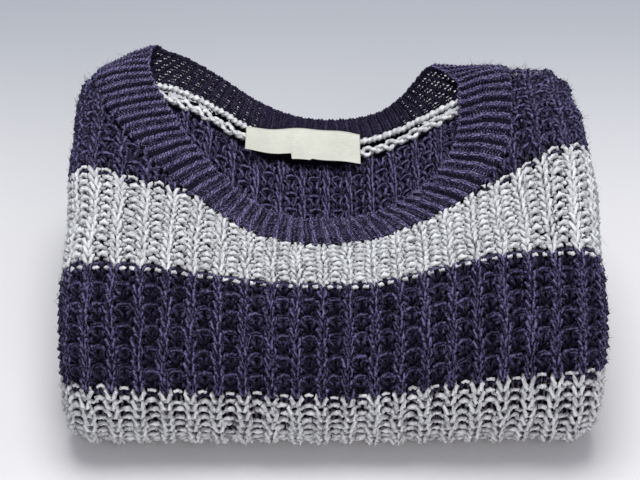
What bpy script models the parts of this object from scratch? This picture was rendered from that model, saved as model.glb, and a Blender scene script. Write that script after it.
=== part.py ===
"""A chunky striped sweater, folded in three and lying on a table, one object for each sewn piece.

Lengths are metres, X is to the right, Y away from the front roll and Z up. Every piece is worked out in a straight
pile, whose side profile is the cloth's path from the shoulder over the front roll and back underneath. settle()
then gives all the pieces the same sag, lift and taper, so that neighbours keep their clearance.
"""

from collections import namedtuple

import bmesh
import bpy
import numpy as np

# Driving dimensions
ROW = 0.0066                # height of one knitted row
WALL = 0.0045               # thickness of the knitted cloth
SEAM = 0.0006               # clearance between pieces before the pile is settled
BETWEEN = 0.0012            # clearance between cloths that lie on each other
HALF_WIDTH = 0.1665         # from the middle to a side fold
SIDE_RADIUS = 0.020         # radius of the side folds
FLAT_HALF = HALF_WIDTH - SIDE_RADIUS
COLUMNS = np.linspace(-FLAT_HALF, FLAT_HALF, 19)   # across the flat of the pile
SIDE_TURN = 110             # degrees the front turns round a side fold before it is tucked away
FRONT_REST = -0.105         # where the front roll leaves the table
REST_ROW = 46               # the row that leaves it

# Rows of the front at which its sections are made, from behind the shoulder to the rear fold.
SHOULDER_ROWS = np.linspace(-9.4, -2, 6)
TOP_ROWS = np.linspace(1, 19, 7)
ROLL_ROWS = np.linspace(21, 46, 14)
UNDER_ROWS = np.linspace(55.5, 75, 3)
REAR_ROWS = np.linspace(77, 84, 5)

# The cloth's slope along the front panel, in degrees above level towards the back: 0 on top, 90 up the front roll,
# 180 underneath and 270 up the rear fold. Rows are counted down the garment from its shoulder line.
Slope = namedtuple("Slope", "row degrees")
SLOPES = (
    Slope(-10, -120),
    Slope(-3.5, 0),
    Slope(0, 7),
    Slope(11, 10),
    Slope(19, 12),
    Slope(23, 21),
    Slope(29, 50),
    Slope(35, 75),
    Slope(38, 90),
    Slope(42, 125),
    Slope(REST_ROW, 180),
    Slope(75, 180),
    Slope(86, 360),
)
PATH_STEP = 0.05            # rows between the points of the worked-out path

# The neckline on the straight pile, as two curves seen from above: where the band is sewn on, and its free edge.
# Each half is a superellipse about the same lowest point.
NeckCurve = namedtuple("NeckCurve", "middle half_width top lowest left_power right_power")
NECK_SEAM = NeckCurve(-0.016, 0.1370, 0.100, -0.0395, 1.95, 4.6)
NECK_EDGE = NeckCurve(-0.018, 0.1060, 0.097, -0.0105, 1.75, 4.8)
FRONT_BAND_ANGLES = np.linspace(4, 176, 23)
BAND_SPANS = 2              # spans between neighbouring sections
BEHIND = 0.16               # clear behind the pile, where the neck's cutter ends
CUT_HEIGHTS = (0.060, 0.190)
CUT_SETTLED_AT = 0.13       # height at which the cutter's outline is settled with the cloth
BAND_DIP = 0.004            # how far the front's free edge sinks below the panel
BAND_CROWN = 0.0012         # how far the band's middle stands over its edges

# The back half of the band, from the left shoulder fold to the right one: the middle of its wall along the seam,
# which keeps to the back panel but for its lift, and along the free edge, and the way its outside faces, in
# degrees from the rear: up is 90 and down is -90.
BandSection = namedtuple("BandSection", "seam_x seam_y seam_lift edge_x edge_y edge_z facing")
BACK_BAND = (
    BandSection(-0.152, 0.108, 0.0070, -0.122, 0.1140, 0.1360, 0),
    BandSection(-0.148, 0.098, 0.0000, -0.114, 0.1130, 0.1310, -70),
    BandSection(-0.122, 0.080, 0.0000, -0.100, 0.1110, 0.1285, -90),
    BandSection(-0.088, 0.073, 0.0000, -0.076, 0.1050, 0.1262, -90),
    BandSection(-0.053, 0.064, 0.0000, -0.050, 0.0985, 0.1230, -90),
    BandSection(-0.010, 0.061, 0.0000, -0.010, 0.0940, 0.1190, -90),
    BandSection(0.036, 0.062, 0.0000, 0.031, 0.0970, 0.1185, -90),
    BandSection(0.064, 0.067, 0.0000, 0.050, 0.1040, 0.1225, -90),
    BandSection(0.092, 0.080, 0.0000, 0.060, 0.1110, 0.1270, -70),
    BandSection(0.117, 0.104, 0.0065, 0.072, 0.1160, 0.1335, 0),
)

# The back panel lies under the front, and a little lower inside the neck.
BACK_FRONT_END = -0.055
BACK_DROP = 0.0085
BACK_REAR = 0.098           # the farthest the back panel reaches inside the shoulder folds
REAR_DROP = 0.013           # how much lower the hidden layers lie under the back of the band

# A sleeve lies folded beneath each shoulder, as a flat roll along the pile.
SLEEVE_MIDDLE, SLEEVE_HALF_WIDTH, SLEEVE_HALF_HEIGHT = 0.1145, 0.0450, 0.011
SLEEVE_END = 20.6           # the row at which it ends in front
SLEEVE_ROWS = np.concatenate([[-3.5, -3.0, -2.0], TOP_ROWS, [20.2, SLEEVE_END]])
SLEEVE_SWELL = np.array([0.60, 0.90, 1, 1, 1, 1, 1, 1, 1, 1, 0.90, 0.60])
SLEEVE_ROUNDNESS = 0.75     # power of the roll's outline: 1 is an ellipse, less is squarer

# The hidden layers: rows round the inside of the fold, and the side's rings from the middle outwards.
CORE_SIDE = 0.1595
CORE_ENDS = np.array([0.152, 0.1565, CORE_SIDE])
CORE_SLEEVE_RAMP = (0.050, 0.0732)       # across the pile, where the layers drop to pass under a sleeve
CORE_FRONT_ROWS = (25, 27)               # rows by which they meet the front again: under the back, a sleeve
CORE_REAR_Y = np.array([0.099, 0.104, 0.104, 0.098])
CORE_REAR_Z = np.array([0.050, 0.060, 0.080, 0.094])
LAYER_GROOVES = (0.044, 0.066, 0.088)    # heights of the grooves between the hidden layers, at the edges
GROOVE_RADIUS = 0.0050
GROOVE_FRONT, GROOVE_REAR, GROOVE_CORNER = -0.098, 0.1045, 0.015

# The label, on the straight pile
LABEL_LEFT, LABEL_RIGHT = -0.0590, 0.0190
LABEL_TOP, LABEL_BOTTOM = 0.0585, 0.0340
LABEL_STEP, LABEL_SHORT = -0.0280, 0.0045   # left of the step the label is shorter by this much
LABEL_THICKNESS = 0.0010
LABEL_LIFT = 0.0040                       # how far its free edge stands off the cloth
LABEL_COLUMNS = np.concatenate([np.linspace(LABEL_LEFT, LABEL_STEP - 0.001, 4),
                                np.linspace(LABEL_STEP, LABEL_RIGHT, 5)])


def smoothstep(value, start, end):
    """A ramp from 0 to 1 between start and end, level at both."""
    t = np.clip((value - start) / (end - start), 0.0, 1.0)
    return t * t * (3.0 - 2.0 * t)


def folded_path():
    """Rows, with the y, z and slope of the cloth's outer face at each, resting on the table at REST_ROW."""
    rows = np.arange(SLOPES[0].row, SLOPES[-1].row + PATH_STEP / 2, PATH_STEP)
    slope = np.radians(np.interp(rows, *zip(*SLOPES)))
    middle = (slope[1:] + slope[:-1]) / 2
    y = np.concatenate([[0.0], np.cumsum(-np.cos(middle) * PATH_STEP * ROW)])
    z = np.concatenate([[0.0], np.cumsum(-np.sin(middle) * PATH_STEP * ROW)])
    rest = np.argmin(np.abs(rows - REST_ROW))
    return rows, y - y[rest] + FRONT_REST, z - z[rest], slope


PATH = folded_path()


def path_point(row, depth=0.0):
    """Y and Z of the front's cloth at a row, moved in from its outer face by depth."""
    rows, y, z, slope = PATH
    angle = np.interp(row, rows, slope)
    return (np.interp(row, rows, y) + np.sin(angle) * depth,
            np.interp(row, rows, z) - np.cos(angle) * depth)


def top_height(y):
    """Height of the top cloth's outer face on the straight pile, from the front roll to behind the shoulder."""
    rows, path_y, path_z, _ = PATH
    top = (rows > -9.0) & (rows < 37.0) & (path_y < 0.1)
    order = np.argsort(path_y[top])
    return np.interp(y, path_y[top][order], path_z[top][order])


def settle(points):
    """The straight pile's points, with the sag in the middle, the taller right side and the sloping shoulders."""
    x, y, z = np.moveaxis(np.asarray(points, float), -1, 0)
    across = np.exp(-(np.abs(x + 0.008) / 0.078) ** 2.6)
    sag = across * (0.008 + 0.028 * smoothstep(y, -0.13, 0.01)) * smoothstep(z, 0.0, 0.085)
    right = smoothstep(x, 0.0, 0.15)
    lift = right * z * (0.10 + 0.12 * smoothstep(-y, 0.09, 0.135))
    shoulder = 0.012 - 0.034 * smoothstep(-x, 0.105, 0.175) - 0.058 * smoothstep(x, 0.0, 0.17)
    high = smoothstep(z, 0.03, 0.12)
    taper = np.where(x < 0.0, 0.014 + 0.012 * smoothstep(y, -0.10, 0.08) * high,
                     0.036 + 0.052 * smoothstep(y, -0.11, 0.05) * high)
    return np.stack([x * (1 - taper) + 0.001,
                     y + shoulder * smoothstep(y, 0.0, 0.10) * high,
                     z - sag + lift], axis=-1)


def neck_curve(curve, angles):
    """X and Y of a neckline curve at angles in degrees: 0 is its right end, 90 its lowest point, 180 its left."""
    across, down = np.cos(np.radians(angles)), np.sin(np.radians(angles))
    power = np.where(across < 0, curve.left_power, curve.right_power)
    reach = (np.abs(across) ** power + np.abs(down) ** power) ** (-1 / power)
    return curve.middle + curve.half_width * reach * across, curve.top + (curve.lowest - curve.top) * reach * down


def material(name, colour, roughness):
    made = bpy.data.materials.new(name)
    made.use_nodes = True
    shader = made.node_tree.nodes["Principled BSDF"]
    shader.inputs["Base Color"].default_value = (*colour, 1.0)
    shader.inputs["Roughness"].default_value = roughness
    shader.inputs["Metallic"].default_value = 0.0
    return made


def add_object(name, vertices, faces, finish, collection):
    mesh = bpy.data.meshes.new(name)
    mesh.from_pydata([tuple(v) for v in vertices], [], faces)
    made = bpy.data.objects.new(name, mesh)
    collection.objects.link(made)
    made.data.materials.append(finish)
    work = bmesh.new()
    work.from_mesh(mesh)
    bmesh.ops.triangulate(work, faces=work.faces)
    bmesh.ops.recalc_face_normals(work, faces=work.faces)
    work.to_mesh(mesh)
    work.free()
    return made


def loft(sections, closed=False):
    """Vertices and faces of a solid through equal rings of points, with flat ends unless it closes on itself."""
    count, around = sections.shape[:2]
    faces = []
    for i in range(count if closed else count - 1):
        a, b = i * around, ((i + 1) % count) * around
        for j in range(around):
            k = (j + 1) % around
            faces.append((a + j, a + k, b + k, b + j))
    if not closed:
        faces.append(tuple(range(around)))
        faces.append(tuple(range((count - 1) * around, count * around)))
    return sections.reshape(-1, 3), faces


def grid_wall(outer, inner):
    """Vertices and faces of a wall between two matching grids of points."""
    rows, columns = outer.shape[:2]
    vertices = np.concatenate([outer.reshape(-1, 3), inner.reshape(-1, 3)])
    index = np.arange(rows * columns).reshape(rows, columns)
    under = rows * columns
    faces = []
    for i in range(rows - 1):
        for j in range(columns - 1):
            quad = (index[i, j], index[i, j + 1], index[i + 1, j + 1], index[i + 1, j])
            faces.append(tuple(int(q) for q in quad))
            faces.append(tuple(int(q) + under for q in reversed(quad)))
    rim = np.concatenate([index[0, :], index[1:, -1], index[-1, -2::-1], index[-2:0:-1, 0]])
    for a, b in zip(rim, np.roll(rim, -1)):
        faces.append((int(a), int(a) + under, int(b) + under, int(b)))
    return vertices, faces


def front_surface(depth):
    """The front panel's face at a depth below its outer one: rows along it, columns from side to side."""
    rows = np.concatenate([SHOULDER_ROWS, TOP_ROWS, ROLL_ROWS, UNDER_ROWS, REAR_ROWS])
    turn = np.radians(np.linspace(0, SIDE_TURN, 5))
    inset = SIDE_RADIUS - (SIDE_RADIUS - depth) * np.cos(turn)
    reach = FLAT_HALF + (SIDE_RADIUS - depth) * np.sin(turn)
    flat = COLUMNS[1:-1]
    x = np.concatenate([-reach[::-1], flat, reach])
    deep = np.concatenate([inset[::-1], np.full(len(flat), depth), inset])
    row_grid, x_grid = np.meshgrid(rows, x, indexing="ij")
    y, z = path_point(row_grid, deep[None, :])
    return np.stack([x_grid, y, z], axis=-1)


def side_depth(x, depth=0.0):
    """Depth at x of the face that lies at a depth on the flat of the pile, where the side folds turn down."""
    radius = SIDE_RADIUS - depth
    beyond = np.clip(np.abs(x) - FLAT_HALF, 0.0, radius)
    return SIDE_RADIUS - np.sqrt(radius ** 2 - beyond ** 2)


def back_top(y):
    """Height of the back panel's upper face, the inside of the garment."""
    return top_height(y) - WALL - BETWEEN - BACK_DROP * smoothstep(y, -0.05, 0.02)


def under_back(y):
    """Depth below the front's outer face of whatever lies under the back panel and, behind it, under the band."""
    return 2 * (WALL + BETWEEN) + BACK_DROP * smoothstep(y, -0.05, 0.02) + REAR_DROP * smoothstep(y, 0.035, 0.075)


def build_front_panel(finish, collection, cutters):
    """The front, from behind the shoulders over the front roll and underneath, with the neck cut out."""
    vertices, faces = grid_wall(settle(front_surface(0.0)), settle(front_surface(WALL)))
    panel = add_object("front_panel", vertices, faces, finish, collection)
    seam = front_seam()
    x = NECK_SEAM.middle + (seam[:, 0] - NECK_SEAM.middle) * (1 + SEAM / NECK_SEAM.half_width)
    y = seam[:, 1] - SEAM
    x = np.concatenate([[x[0]], x, [x[-1]]])
    y = np.concatenate([[BEHIND], y, [BEHIND]])
    rim = settle(np.stack([x, y, np.full(len(x), CUT_SETTLED_AT)], axis=-1))
    low, high = rim.copy(), rim.copy()
    low[:, 2], high[:, 2] = CUT_HEIGHTS
    vertices, faces = loft(np.stack([low, high]))
    cutter = add_object("neck_cutter", vertices, faces, finish, cutters)
    subtract(panel, cutter)
    return panel


def subtract(solid, cutter):
    """Cut a solid with a cutter, which is itself hidden."""
    cutter.hide_render = True
    cutter.display_type = "WIRE"
    cut = solid.modifiers.new(cutter.name, "BOOLEAN")
    cut.operation = "DIFFERENCE"
    cut.solver = "EXACT"
    cut.object = cutter


def neckband_middle(across):
    """The middle of the band's wall on the straight pile: sections round the neck, points from seam to edge."""
    seam_x, seam_y = neck_curve(NECK_SEAM, FRONT_BAND_ANGLES)
    edge_x, edge_y = neck_curve(NECK_EDGE, FRONT_BAND_ANGLES)
    x = seam_x[:, None] + (edge_x - seam_x)[:, None] * across
    y = seam_y[:, None] + (edge_y - seam_y)[:, None] * across
    z = top_height(y) - side_depth(x) - WALL / 2 - BAND_DIP * across ** 2
    front = np.stack([x, y, z], axis=-1)
    table = np.array(BACK_BAND)
    seam, edge = table[:, :3].copy(), table[:, 3:6]
    seam[:, 2] += back_top(seam[:, 1]) - WALL / 2
    back = seam[:, None, :] + (edge - seam)[:, None, :] * across[None, :, None]
    return np.concatenate([front, back])


def neckband_facing():
    """The way the band's outside faces at each section, in degrees from the rear."""
    return np.concatenate([np.full(len(FRONT_BAND_ANGLES), 90.0), [section.facing for section in BACK_BAND]])


def closed_spline(sections, steps):
    """A smooth closed run through the sections, with steps spans between neighbours (Catmull-Rom)."""
    before, after = np.roll(sections, 1, axis=0), np.roll(sections, -1, axis=0)
    beyond = np.roll(sections, -2, axis=0)
    run = []
    for t in np.arange(steps) / steps:
        run.append(0.5 * (2 * sections + (after - before) * t
                          + (2 * before - 5 * sections + 4 * after - beyond) * t ** 2
                          + (3 * sections - before - 3 * after + beyond) * t ** 3))
    return np.stack(run, axis=1).reshape(-1, *sections.shape[1:])


def sewn_line():
    """The line along which the band is sewn, on the straight pile: right to left in front, then back again."""
    return closed_spline(neckband_middle(np.array([0.0])), BAND_SPANS)[:, 0]


def front_seam():
    return sewn_line()[:BAND_SPANS * (len(FRONT_BAND_ANGLES) - 1) + 1]


def back_seam():
    """The back's part of that line, from left to right, and the way the band's outside faces along it."""
    back = slice(BAND_SPANS * len(FRONT_BAND_ANGLES), 1 - BAND_SPANS)
    return sewn_line()[back], closed_spline(neckband_facing(), BAND_SPANS)[back]


def build_neckband(finish, collection):
    """One ribbed ring, sewn round the neck: its outside shows in front and its inside at the back."""
    across = np.linspace(0, 1, 5)
    middle = settle(closed_spline(neckband_middle(across), BAND_SPANS))
    facing = np.radians(closed_spline(neckband_facing(), BAND_SPANS))
    normal = np.stack([np.zeros(len(facing)), np.cos(facing), np.sin(facing)], axis=-1)[:, None, :]
    crown = BAND_CROWN * np.sin(np.pi * across)[:, None]
    half = WALL / 2
    outside = middle + normal * (half + crown)
    inside = middle - normal * (half - crown)
    sections = np.concatenate([outside, inside[:, ::-1]], axis=1)
    vertices, faces = loft(sections, closed=True)
    return add_object("neckband", vertices, faces, finish, collection)


def build_back_panel(finish, collection):
    """The back, under the front panel: its inside shows through the neck."""
    seam, facing = back_seam()
    clear = 2 * SEAM + WALL * np.cos(np.radians(facing))
    rear = np.minimum(np.interp(COLUMNS, seam[:, 0], seam[:, 1] - clear), BACK_REAR)
    share = np.linspace(0, 1, 11)[:, None]
    y = BACK_FRONT_END + (rear - BACK_FRONT_END) * share
    x = np.broadcast_to(COLUMNS, y.shape)
    top = np.stack([x, y, back_top(y)], axis=-1)
    under = top - np.array([0, 0, WALL])
    vertices, faces = grid_wall(settle(top), settle(under))
    return add_object("back_panel", vertices, faces, finish, collection)


def build_sleeve(name, side, finish, collection):
    """A sleeve folded flat beneath the back panel, along one side of the pile."""
    angle = np.linspace(0, 2 * np.pi, 16, endpoint=False)
    rows = SLEEVE_ROWS[:, None]
    swell = SLEEVE_SWELL[:, None]
    flat = np.sign(np.cos(angle)) * np.abs(np.cos(angle)) ** SLEEVE_ROUNDNESS
    tall = np.sign(np.sin(angle)) * np.abs(np.sin(angle)) ** SLEEVE_ROUNDNESS
    x = side * SLEEVE_MIDDLE + SLEEVE_HALF_WIDTH * flat * (0.9 + 0.1 * swell)
    y, _ = path_point(rows)
    depth = under_back(y) + SLEEVE_HALF_HEIGHT * (1 - tall * swell)
    y, z = path_point(rows, depth)
    vertices, faces = loft(settle(np.stack([np.broadcast_to(x, y.shape), y, z], axis=-1)))
    return add_object(name, vertices, faces, finish, collection)


def core_ring(x):
    """The hidden layers' outline across the pile at x, on the straight pile, as y and z."""
    rows = np.concatenate([[-2], TOP_ROWS, ROLL_ROWS, UNDER_ROWS, REAR_ROWS])
    y, _ = path_point(rows)
    snug = side_depth(x, WALL + SEAM)
    back_front, sleeve_front = CORE_FRONT_ROWS
    back = (under_back(y) - WALL) * (1 - smoothstep(rows, SLEEVE_END, back_front))
    sleeve = (2 * SLEEVE_HALF_HEIGHT + SEAM) * smoothstep(np.abs(x), *CORE_SLEEVE_RAMP)
    sleeve = sleeve * (1 - smoothstep(rows, SLEEVE_END, sleeve_front))
    y, z = path_point(rows, snug + back + sleeve)
    pull = snug - WALL
    return np.concatenate([y, CORE_REAR_Y - pull]), np.concatenate([z, CORE_REAR_Z - pull / 2])


def groove_sections(height):
    """Sections of a groove along the left side, the rear and the right side of the hidden layers."""
    corner = np.radians(np.linspace(0, 90, 5))
    bend_x = CORE_SIDE - GROOVE_CORNER * (1 - np.cos(corner))
    bend_y = GROOVE_REAR - GROOVE_CORNER * (1 - np.sin(corner))
    x = np.concatenate([[CORE_SIDE], bend_x, np.linspace(0.12, 0, 5)])    # side, corner, half the rear
    y = np.concatenate([[GROOVE_FRONT], bend_y, np.full(5, GROOVE_REAR)])
    x, y = np.concatenate([x, -x[-2::-1]]), np.concatenate([y, y[-2::-1]])
    run = np.stack([np.gradient(x), np.gradient(y)], axis=-1)
    run /= np.linalg.norm(run, axis=-1, keepdims=True)
    angle = np.linspace(0, 2 * np.pi, 6, endpoint=False)
    out = GROOVE_RADIUS * np.cos(angle)
    up = GROOVE_RADIUS * np.sin(angle)
    return np.stack([x[:, None] + run[:, 1:] * out, y[:, None] - run[:, :1] * out,
                     np.broadcast_to(height + up, (len(x), 6))], axis=-1)


def build_core(finish, collection, cutters):
    """The layers hidden in the pile share one rounded solid, grooved at the edges where one lies on the next."""
    stations = np.concatenate([-CORE_ENDS[::-1], COLUMNS, CORE_ENDS])
    rings = []
    for x in stations:
        y, z = core_ring(x)
        rings.append(np.stack([np.full(len(y), x), y, z], axis=-1))
    vertices, faces = loft(settle(np.array(rings)))
    core = add_object("folded_layers", vertices, faces, finish, collection)
    for number, height in enumerate(LAYER_GROOVES, 1):
        vertices, faces = loft(settle(groove_sections(height)))
        subtract(core, add_object(f"groove_cutter_{number}", vertices, faces, finish, cutters))
    return core


def build_label(finish, collection):
    """A blank woven label, caught in the back neck seam and lying on the inside of the back."""
    lower = LABEL_BOTTOM + np.where(LABEL_COLUMNS < LABEL_STEP, LABEL_SHORT, 0.0)
    share = np.linspace(0, 1, 5)[:, None]
    y = LABEL_TOP + (lower - LABEL_TOP) * share
    lift = SEAM + LABEL_LIFT * share ** 1.5
    x = np.broadcast_to(LABEL_COLUMNS, y.shape)
    under = np.stack([x, y, back_top(y) + lift], axis=-1)
    top = under + np.array([0, 0, LABEL_THICKNESS])
    vertices, faces = grid_wall(settle(top), settle(under))
    return add_object("neck_label", vertices, faces, finish, collection)


def centre_over_origin(collection, cutters):
    """Move everything so that the box round the pieces stands over the origin."""
    graph = bpy.context.evaluated_depsgraph_get()
    pieces = [piece.evaluated_get(graph) for piece in collection.objects]
    corners = np.array([corner[:] for piece in pieces for corner in piece.bound_box])
    middle = (corners.min(axis=0) + corners.max(axis=0)) / 2
    for item in [*collection.objects, *cutters.objects]:
        item.location = (-middle[0], -middle[1], 0.0)


def build():
    for item in list(bpy.data.objects):
        bpy.data.objects.remove(item, do_unlink=True)
    collection = bpy.data.collections.new("folded_sweater")
    cutters = bpy.data.collections.new("cutters")
    bpy.context.scene.collection.children.link(collection)
    bpy.context.scene.collection.children.link(cutters)
    navy = material("navy_knit", (0.045, 0.040, 0.090), 0.95)
    grey = material("grey_knit", (0.560, 0.580, 0.580), 0.95)
    cream = material("cream_label", (0.820, 0.800, 0.700), 0.80)
    build_front_panel(grey, collection, cutters)
    build_back_panel(navy, collection)
    build_neckband(navy, collection)
    build_sleeve("sleeve_left", -1, grey, collection)
    build_sleeve("sleeve_right", 1, navy, collection)
    build_core(navy, collection, cutters)
    build_label(cream, collection)
    centre_over_origin(collection, cutters)


build()
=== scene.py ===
# %% [markdown]
# # A folded, striped sweater in chunky cotton
# A hand-framed crew neck lies on a table, folded in three. Its cloth is drawn here as the machine makes it: one
# yarn runs across each row and is pulled into loops, and every loop hangs in the loops of the row before. The
# yarns are tubes of mesh that follow that path, so the ribs, the waffle squares and the gaps between stitches are
# real geometry, and they stay right from every side. Under the yarns lies a thin lining, near black as painted
# shade for the yarn behind, which closes the gaps and carries the cut's size.

# %% Load the imported model
from collections import namedtuple

import bpy
import numpy as np
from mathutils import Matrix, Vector


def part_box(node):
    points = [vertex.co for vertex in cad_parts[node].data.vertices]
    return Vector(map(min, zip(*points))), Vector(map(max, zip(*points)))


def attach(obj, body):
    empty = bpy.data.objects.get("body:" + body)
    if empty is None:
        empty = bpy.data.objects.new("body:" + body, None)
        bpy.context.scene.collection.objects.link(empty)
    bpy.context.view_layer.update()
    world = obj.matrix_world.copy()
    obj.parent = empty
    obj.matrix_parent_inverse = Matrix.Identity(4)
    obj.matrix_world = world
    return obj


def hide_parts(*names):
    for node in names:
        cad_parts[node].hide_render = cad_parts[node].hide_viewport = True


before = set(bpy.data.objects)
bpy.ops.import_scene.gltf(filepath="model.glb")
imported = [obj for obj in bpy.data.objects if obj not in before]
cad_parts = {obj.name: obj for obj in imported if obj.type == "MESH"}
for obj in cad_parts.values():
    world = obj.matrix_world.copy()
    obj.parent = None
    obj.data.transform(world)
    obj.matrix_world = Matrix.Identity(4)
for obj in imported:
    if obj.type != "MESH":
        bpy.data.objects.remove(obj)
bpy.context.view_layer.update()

# %% [markdown]
# ## Sizes
# The gauge comes first, as it does for a knitter: how tall a row is and how wide one repeat of the rib is. A
# repeat has one narrow knit column and one wide purl column. The folded pile is then described by its radii and
# half width, and by how steeply the cloth slopes at each row on its way over the front and underneath.

# %% Gauge and folds
ROW = 0.0066               # metres from one row to the next
WALL = 0.0045              # thickness of the cloth
HALF_WIDTH = 0.1665
SIDE_RADIUS = 0.020
FLAT_HALF = HALF_WIDTH - SIDE_RADIUS
FRONT_REST = -0.105
REST_ROW = 46
BETWEEN = 0.0012
BACK_DROP = 0.0085
Slope = namedtuple("Slope", "row degrees")
SLOPES = (
    Slope(-10, -120),
    Slope(-3.5, 0),
    Slope(0, 7),
    Slope(11, 10),
    Slope(19, 12),
    Slope(23, 21),
    Slope(29, 50),
    Slope(35, 75),
    Slope(38, 90),
    Slope(42, 125),
    Slope(REST_ROW, 180),
    Slope(75, 180),
    Slope(86, 360),
)
PATH_STEP = 0.05           # in rows
print("the front is", SLOPES[-1].row - SLOPES[0].row, "rows long, which is",
      round((SLOPES[-1].row - SLOPES[0].row) * ROW, 3), "m")


def smoothstep(value, start, end):
    """A ramp from 0 to 1 between start and end: with t the share of the way, 3 t squared less 2 t cubed."""
    t = np.clip((value - start) / (end - start), 0.0, 1.0)
    return t * t * (3.0 - 2.0 * t)


# %% The cloth's path round the fold
def folded_path():
    """Rows, y, z and slope of the outer face: steps of one length, each turned to the slope at its middle."""
    rows = np.arange(SLOPES[0].row, SLOPES[-1].row + PATH_STEP / 2, PATH_STEP)
    slope = np.radians(np.interp(rows, *zip(*SLOPES)))
    middle = (slope[1:] + slope[:-1]) / 2
    y = np.concatenate([[0.0], np.cumsum(-np.cos(middle) * PATH_STEP * ROW)])
    z = np.concatenate([[0.0], np.cumsum(-np.sin(middle) * PATH_STEP * ROW)])
    rest = np.argmin(np.abs(rows - REST_ROW))
    return rows, y - y[rest] + FRONT_REST, z - z[rest], slope


PATH = folded_path()
PATH_TOP = (PATH[0] > -9.0) & (PATH[0] < 37.0) & (PATH[1] < 0.1)
TOP_ORDER = np.argsort(PATH[1][PATH_TOP])
print("the cloth's path has", len(PATH[0]), "points and rises", round(float(PATH[2].max()) * 1000), "mm")


def path_point(row, depth=0.0):
    """Y and Z at a row, moved in from the outer face by depth along the slope's normal."""
    rows, y, z, slope = PATH
    angle = np.interp(row, rows, slope)
    return (np.interp(row, rows, y) + np.sin(angle) * depth,
            np.interp(row, rows, z) - np.cos(angle) * depth)


def top_height(y):
    """The height of the front's outer face on top of the pile, before it settles."""
    return np.interp(y, PATH[1][PATH_TOP][TOP_ORDER], PATH[2][PATH_TOP][TOP_ORDER])


def back_top(y):
    """Height of the back panel's upper face, the inside of the garment, before the pile settles."""
    return top_height(y) - WALL - BETWEEN - BACK_DROP * smoothstep(y, -0.05, 0.02)


# %% How the pile settles
SAG_MIDDLE, SAG_WIDTH, SAG_POWER = -0.008, 0.078, 2.6
SAG_FRONT, SAG_MORE_BEHIND = 0.008, 0.028
RIGHT_RISE, RIGHT_RISE_IN_FRONT = 0.10, 0.12
SHOULDER_BACK, LEFT_SHOULDER_FORWARD, RIGHT_SHOULDER_FORWARD = 0.012, 0.034, 0.058
LEFT_TAPER, LEFT_TAPER_BEHIND = 0.014, 0.012
RIGHT_TAPER, RIGHT_TAPER_BEHIND = 0.036, 0.052
RIGHT_BULGE, LEFT_BULGE, SHOULDER_LIFT = 0.006, 0.005, 0.0045


def settle(points):
    """The straight pile with a sag in the middle, a taller right side and sloping, narrower shoulders. The sag is a
    bell across, e to minus (distance over width) to a power, and grows to the rear and with the height. The lift is
    a share of the height, and the taper a share of x. Bulges and the shoulders' lift are ramps multiplied."""
    x, y, z = np.moveaxis(np.asarray(points, float), -1, 0)
    high = smoothstep(z, 0.03, 0.12)
    across = np.exp(-(np.abs(x - SAG_MIDDLE) / SAG_WIDTH) ** SAG_POWER)
    sag = across * (SAG_FRONT + SAG_MORE_BEHIND * smoothstep(y, -0.13, 0.01)) * smoothstep(z, 0.0, 0.085)
    right = smoothstep(x, 0.0, 0.15)
    lift = right * z * (RIGHT_RISE + RIGHT_RISE_IN_FRONT * smoothstep(-y, 0.09, 0.135))
    lift = lift + SHOULDER_LIFT * smoothstep(x, 0.088, 0.118) * smoothstep(y, 0.0, 0.06) * high
    shoulder = (SHOULDER_BACK - LEFT_SHOULDER_FORWARD * smoothstep(-x, 0.105, 0.175)
                - RIGHT_SHOULDER_FORWARD * smoothstep(x, 0.0, 0.17))
    taper = np.where(x < 0.0, LEFT_TAPER + LEFT_TAPER_BEHIND * smoothstep(y, -0.10, 0.08) * high,
                     RIGHT_TAPER + RIGHT_TAPER_BEHIND * smoothstep(y, -0.11, 0.05) * high)
    right_bulge = smoothstep(x, 0.120, 0.160) * smoothstep(y, -0.075, -0.01) * smoothstep(-y, -0.075, -0.03)
    left_bulge = smoothstep(-x, 0.100, 0.150) * smoothstep(y, -0.045, 0.02)
    bulge = high * (RIGHT_BULGE * right_bulge - LEFT_BULGE * left_bulge)
    return np.stack([x * (1 - taper) + 0.001 + bulge,
                     y + shoulder * smoothstep(y, 0.0, 0.10) * high,
                     z - sag + lift], axis=-1)


print("the middle of the top sags by", round((SAG_FRONT + SAG_MORE_BEHIND) * 1000), "mm at the rear")

# %% [markdown]
# ## From the flat cloth to the pile
# A point of the front is given as a knitter would: how far across, which row, and how far out of the cloth. The
# next function carries it round the side folds, along the path and through the settling. Everything that lies on
# the front, from the lining to the last fibre, goes through it, so the layers can't drift apart.

# %% The front panel's surface
def front_point(across, row, out=0.0):
    """Across runs round the side folds: beyond the flat half width it turns down on a circle of SIDE_RADIUS, so
    x is the flat half plus (radius + out) sin(turn) and the depth is radius less (radius + out) cos(turn)."""
    turn = np.maximum(np.abs(across) - FLAT_HALF, 0.0) / SIDE_RADIUS
    x = np.sign(across) * (np.minimum(np.abs(across), FLAT_HALF) + (SIDE_RADIUS + out) * np.sin(turn))
    y, z = path_point(row, SIDE_RADIUS - (SIDE_RADIUS + out) * np.cos(turn))
    return settle(np.stack(np.broadcast_arrays(x, y, z), axis=-1)) + SHIFT


def back_point(x, y, out=0.0):
    """The back panel's upper face, raised by out."""
    return settle(np.stack(np.broadcast_arrays(x, y, back_top(y) + out), axis=-1)) + SHIFT


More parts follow.
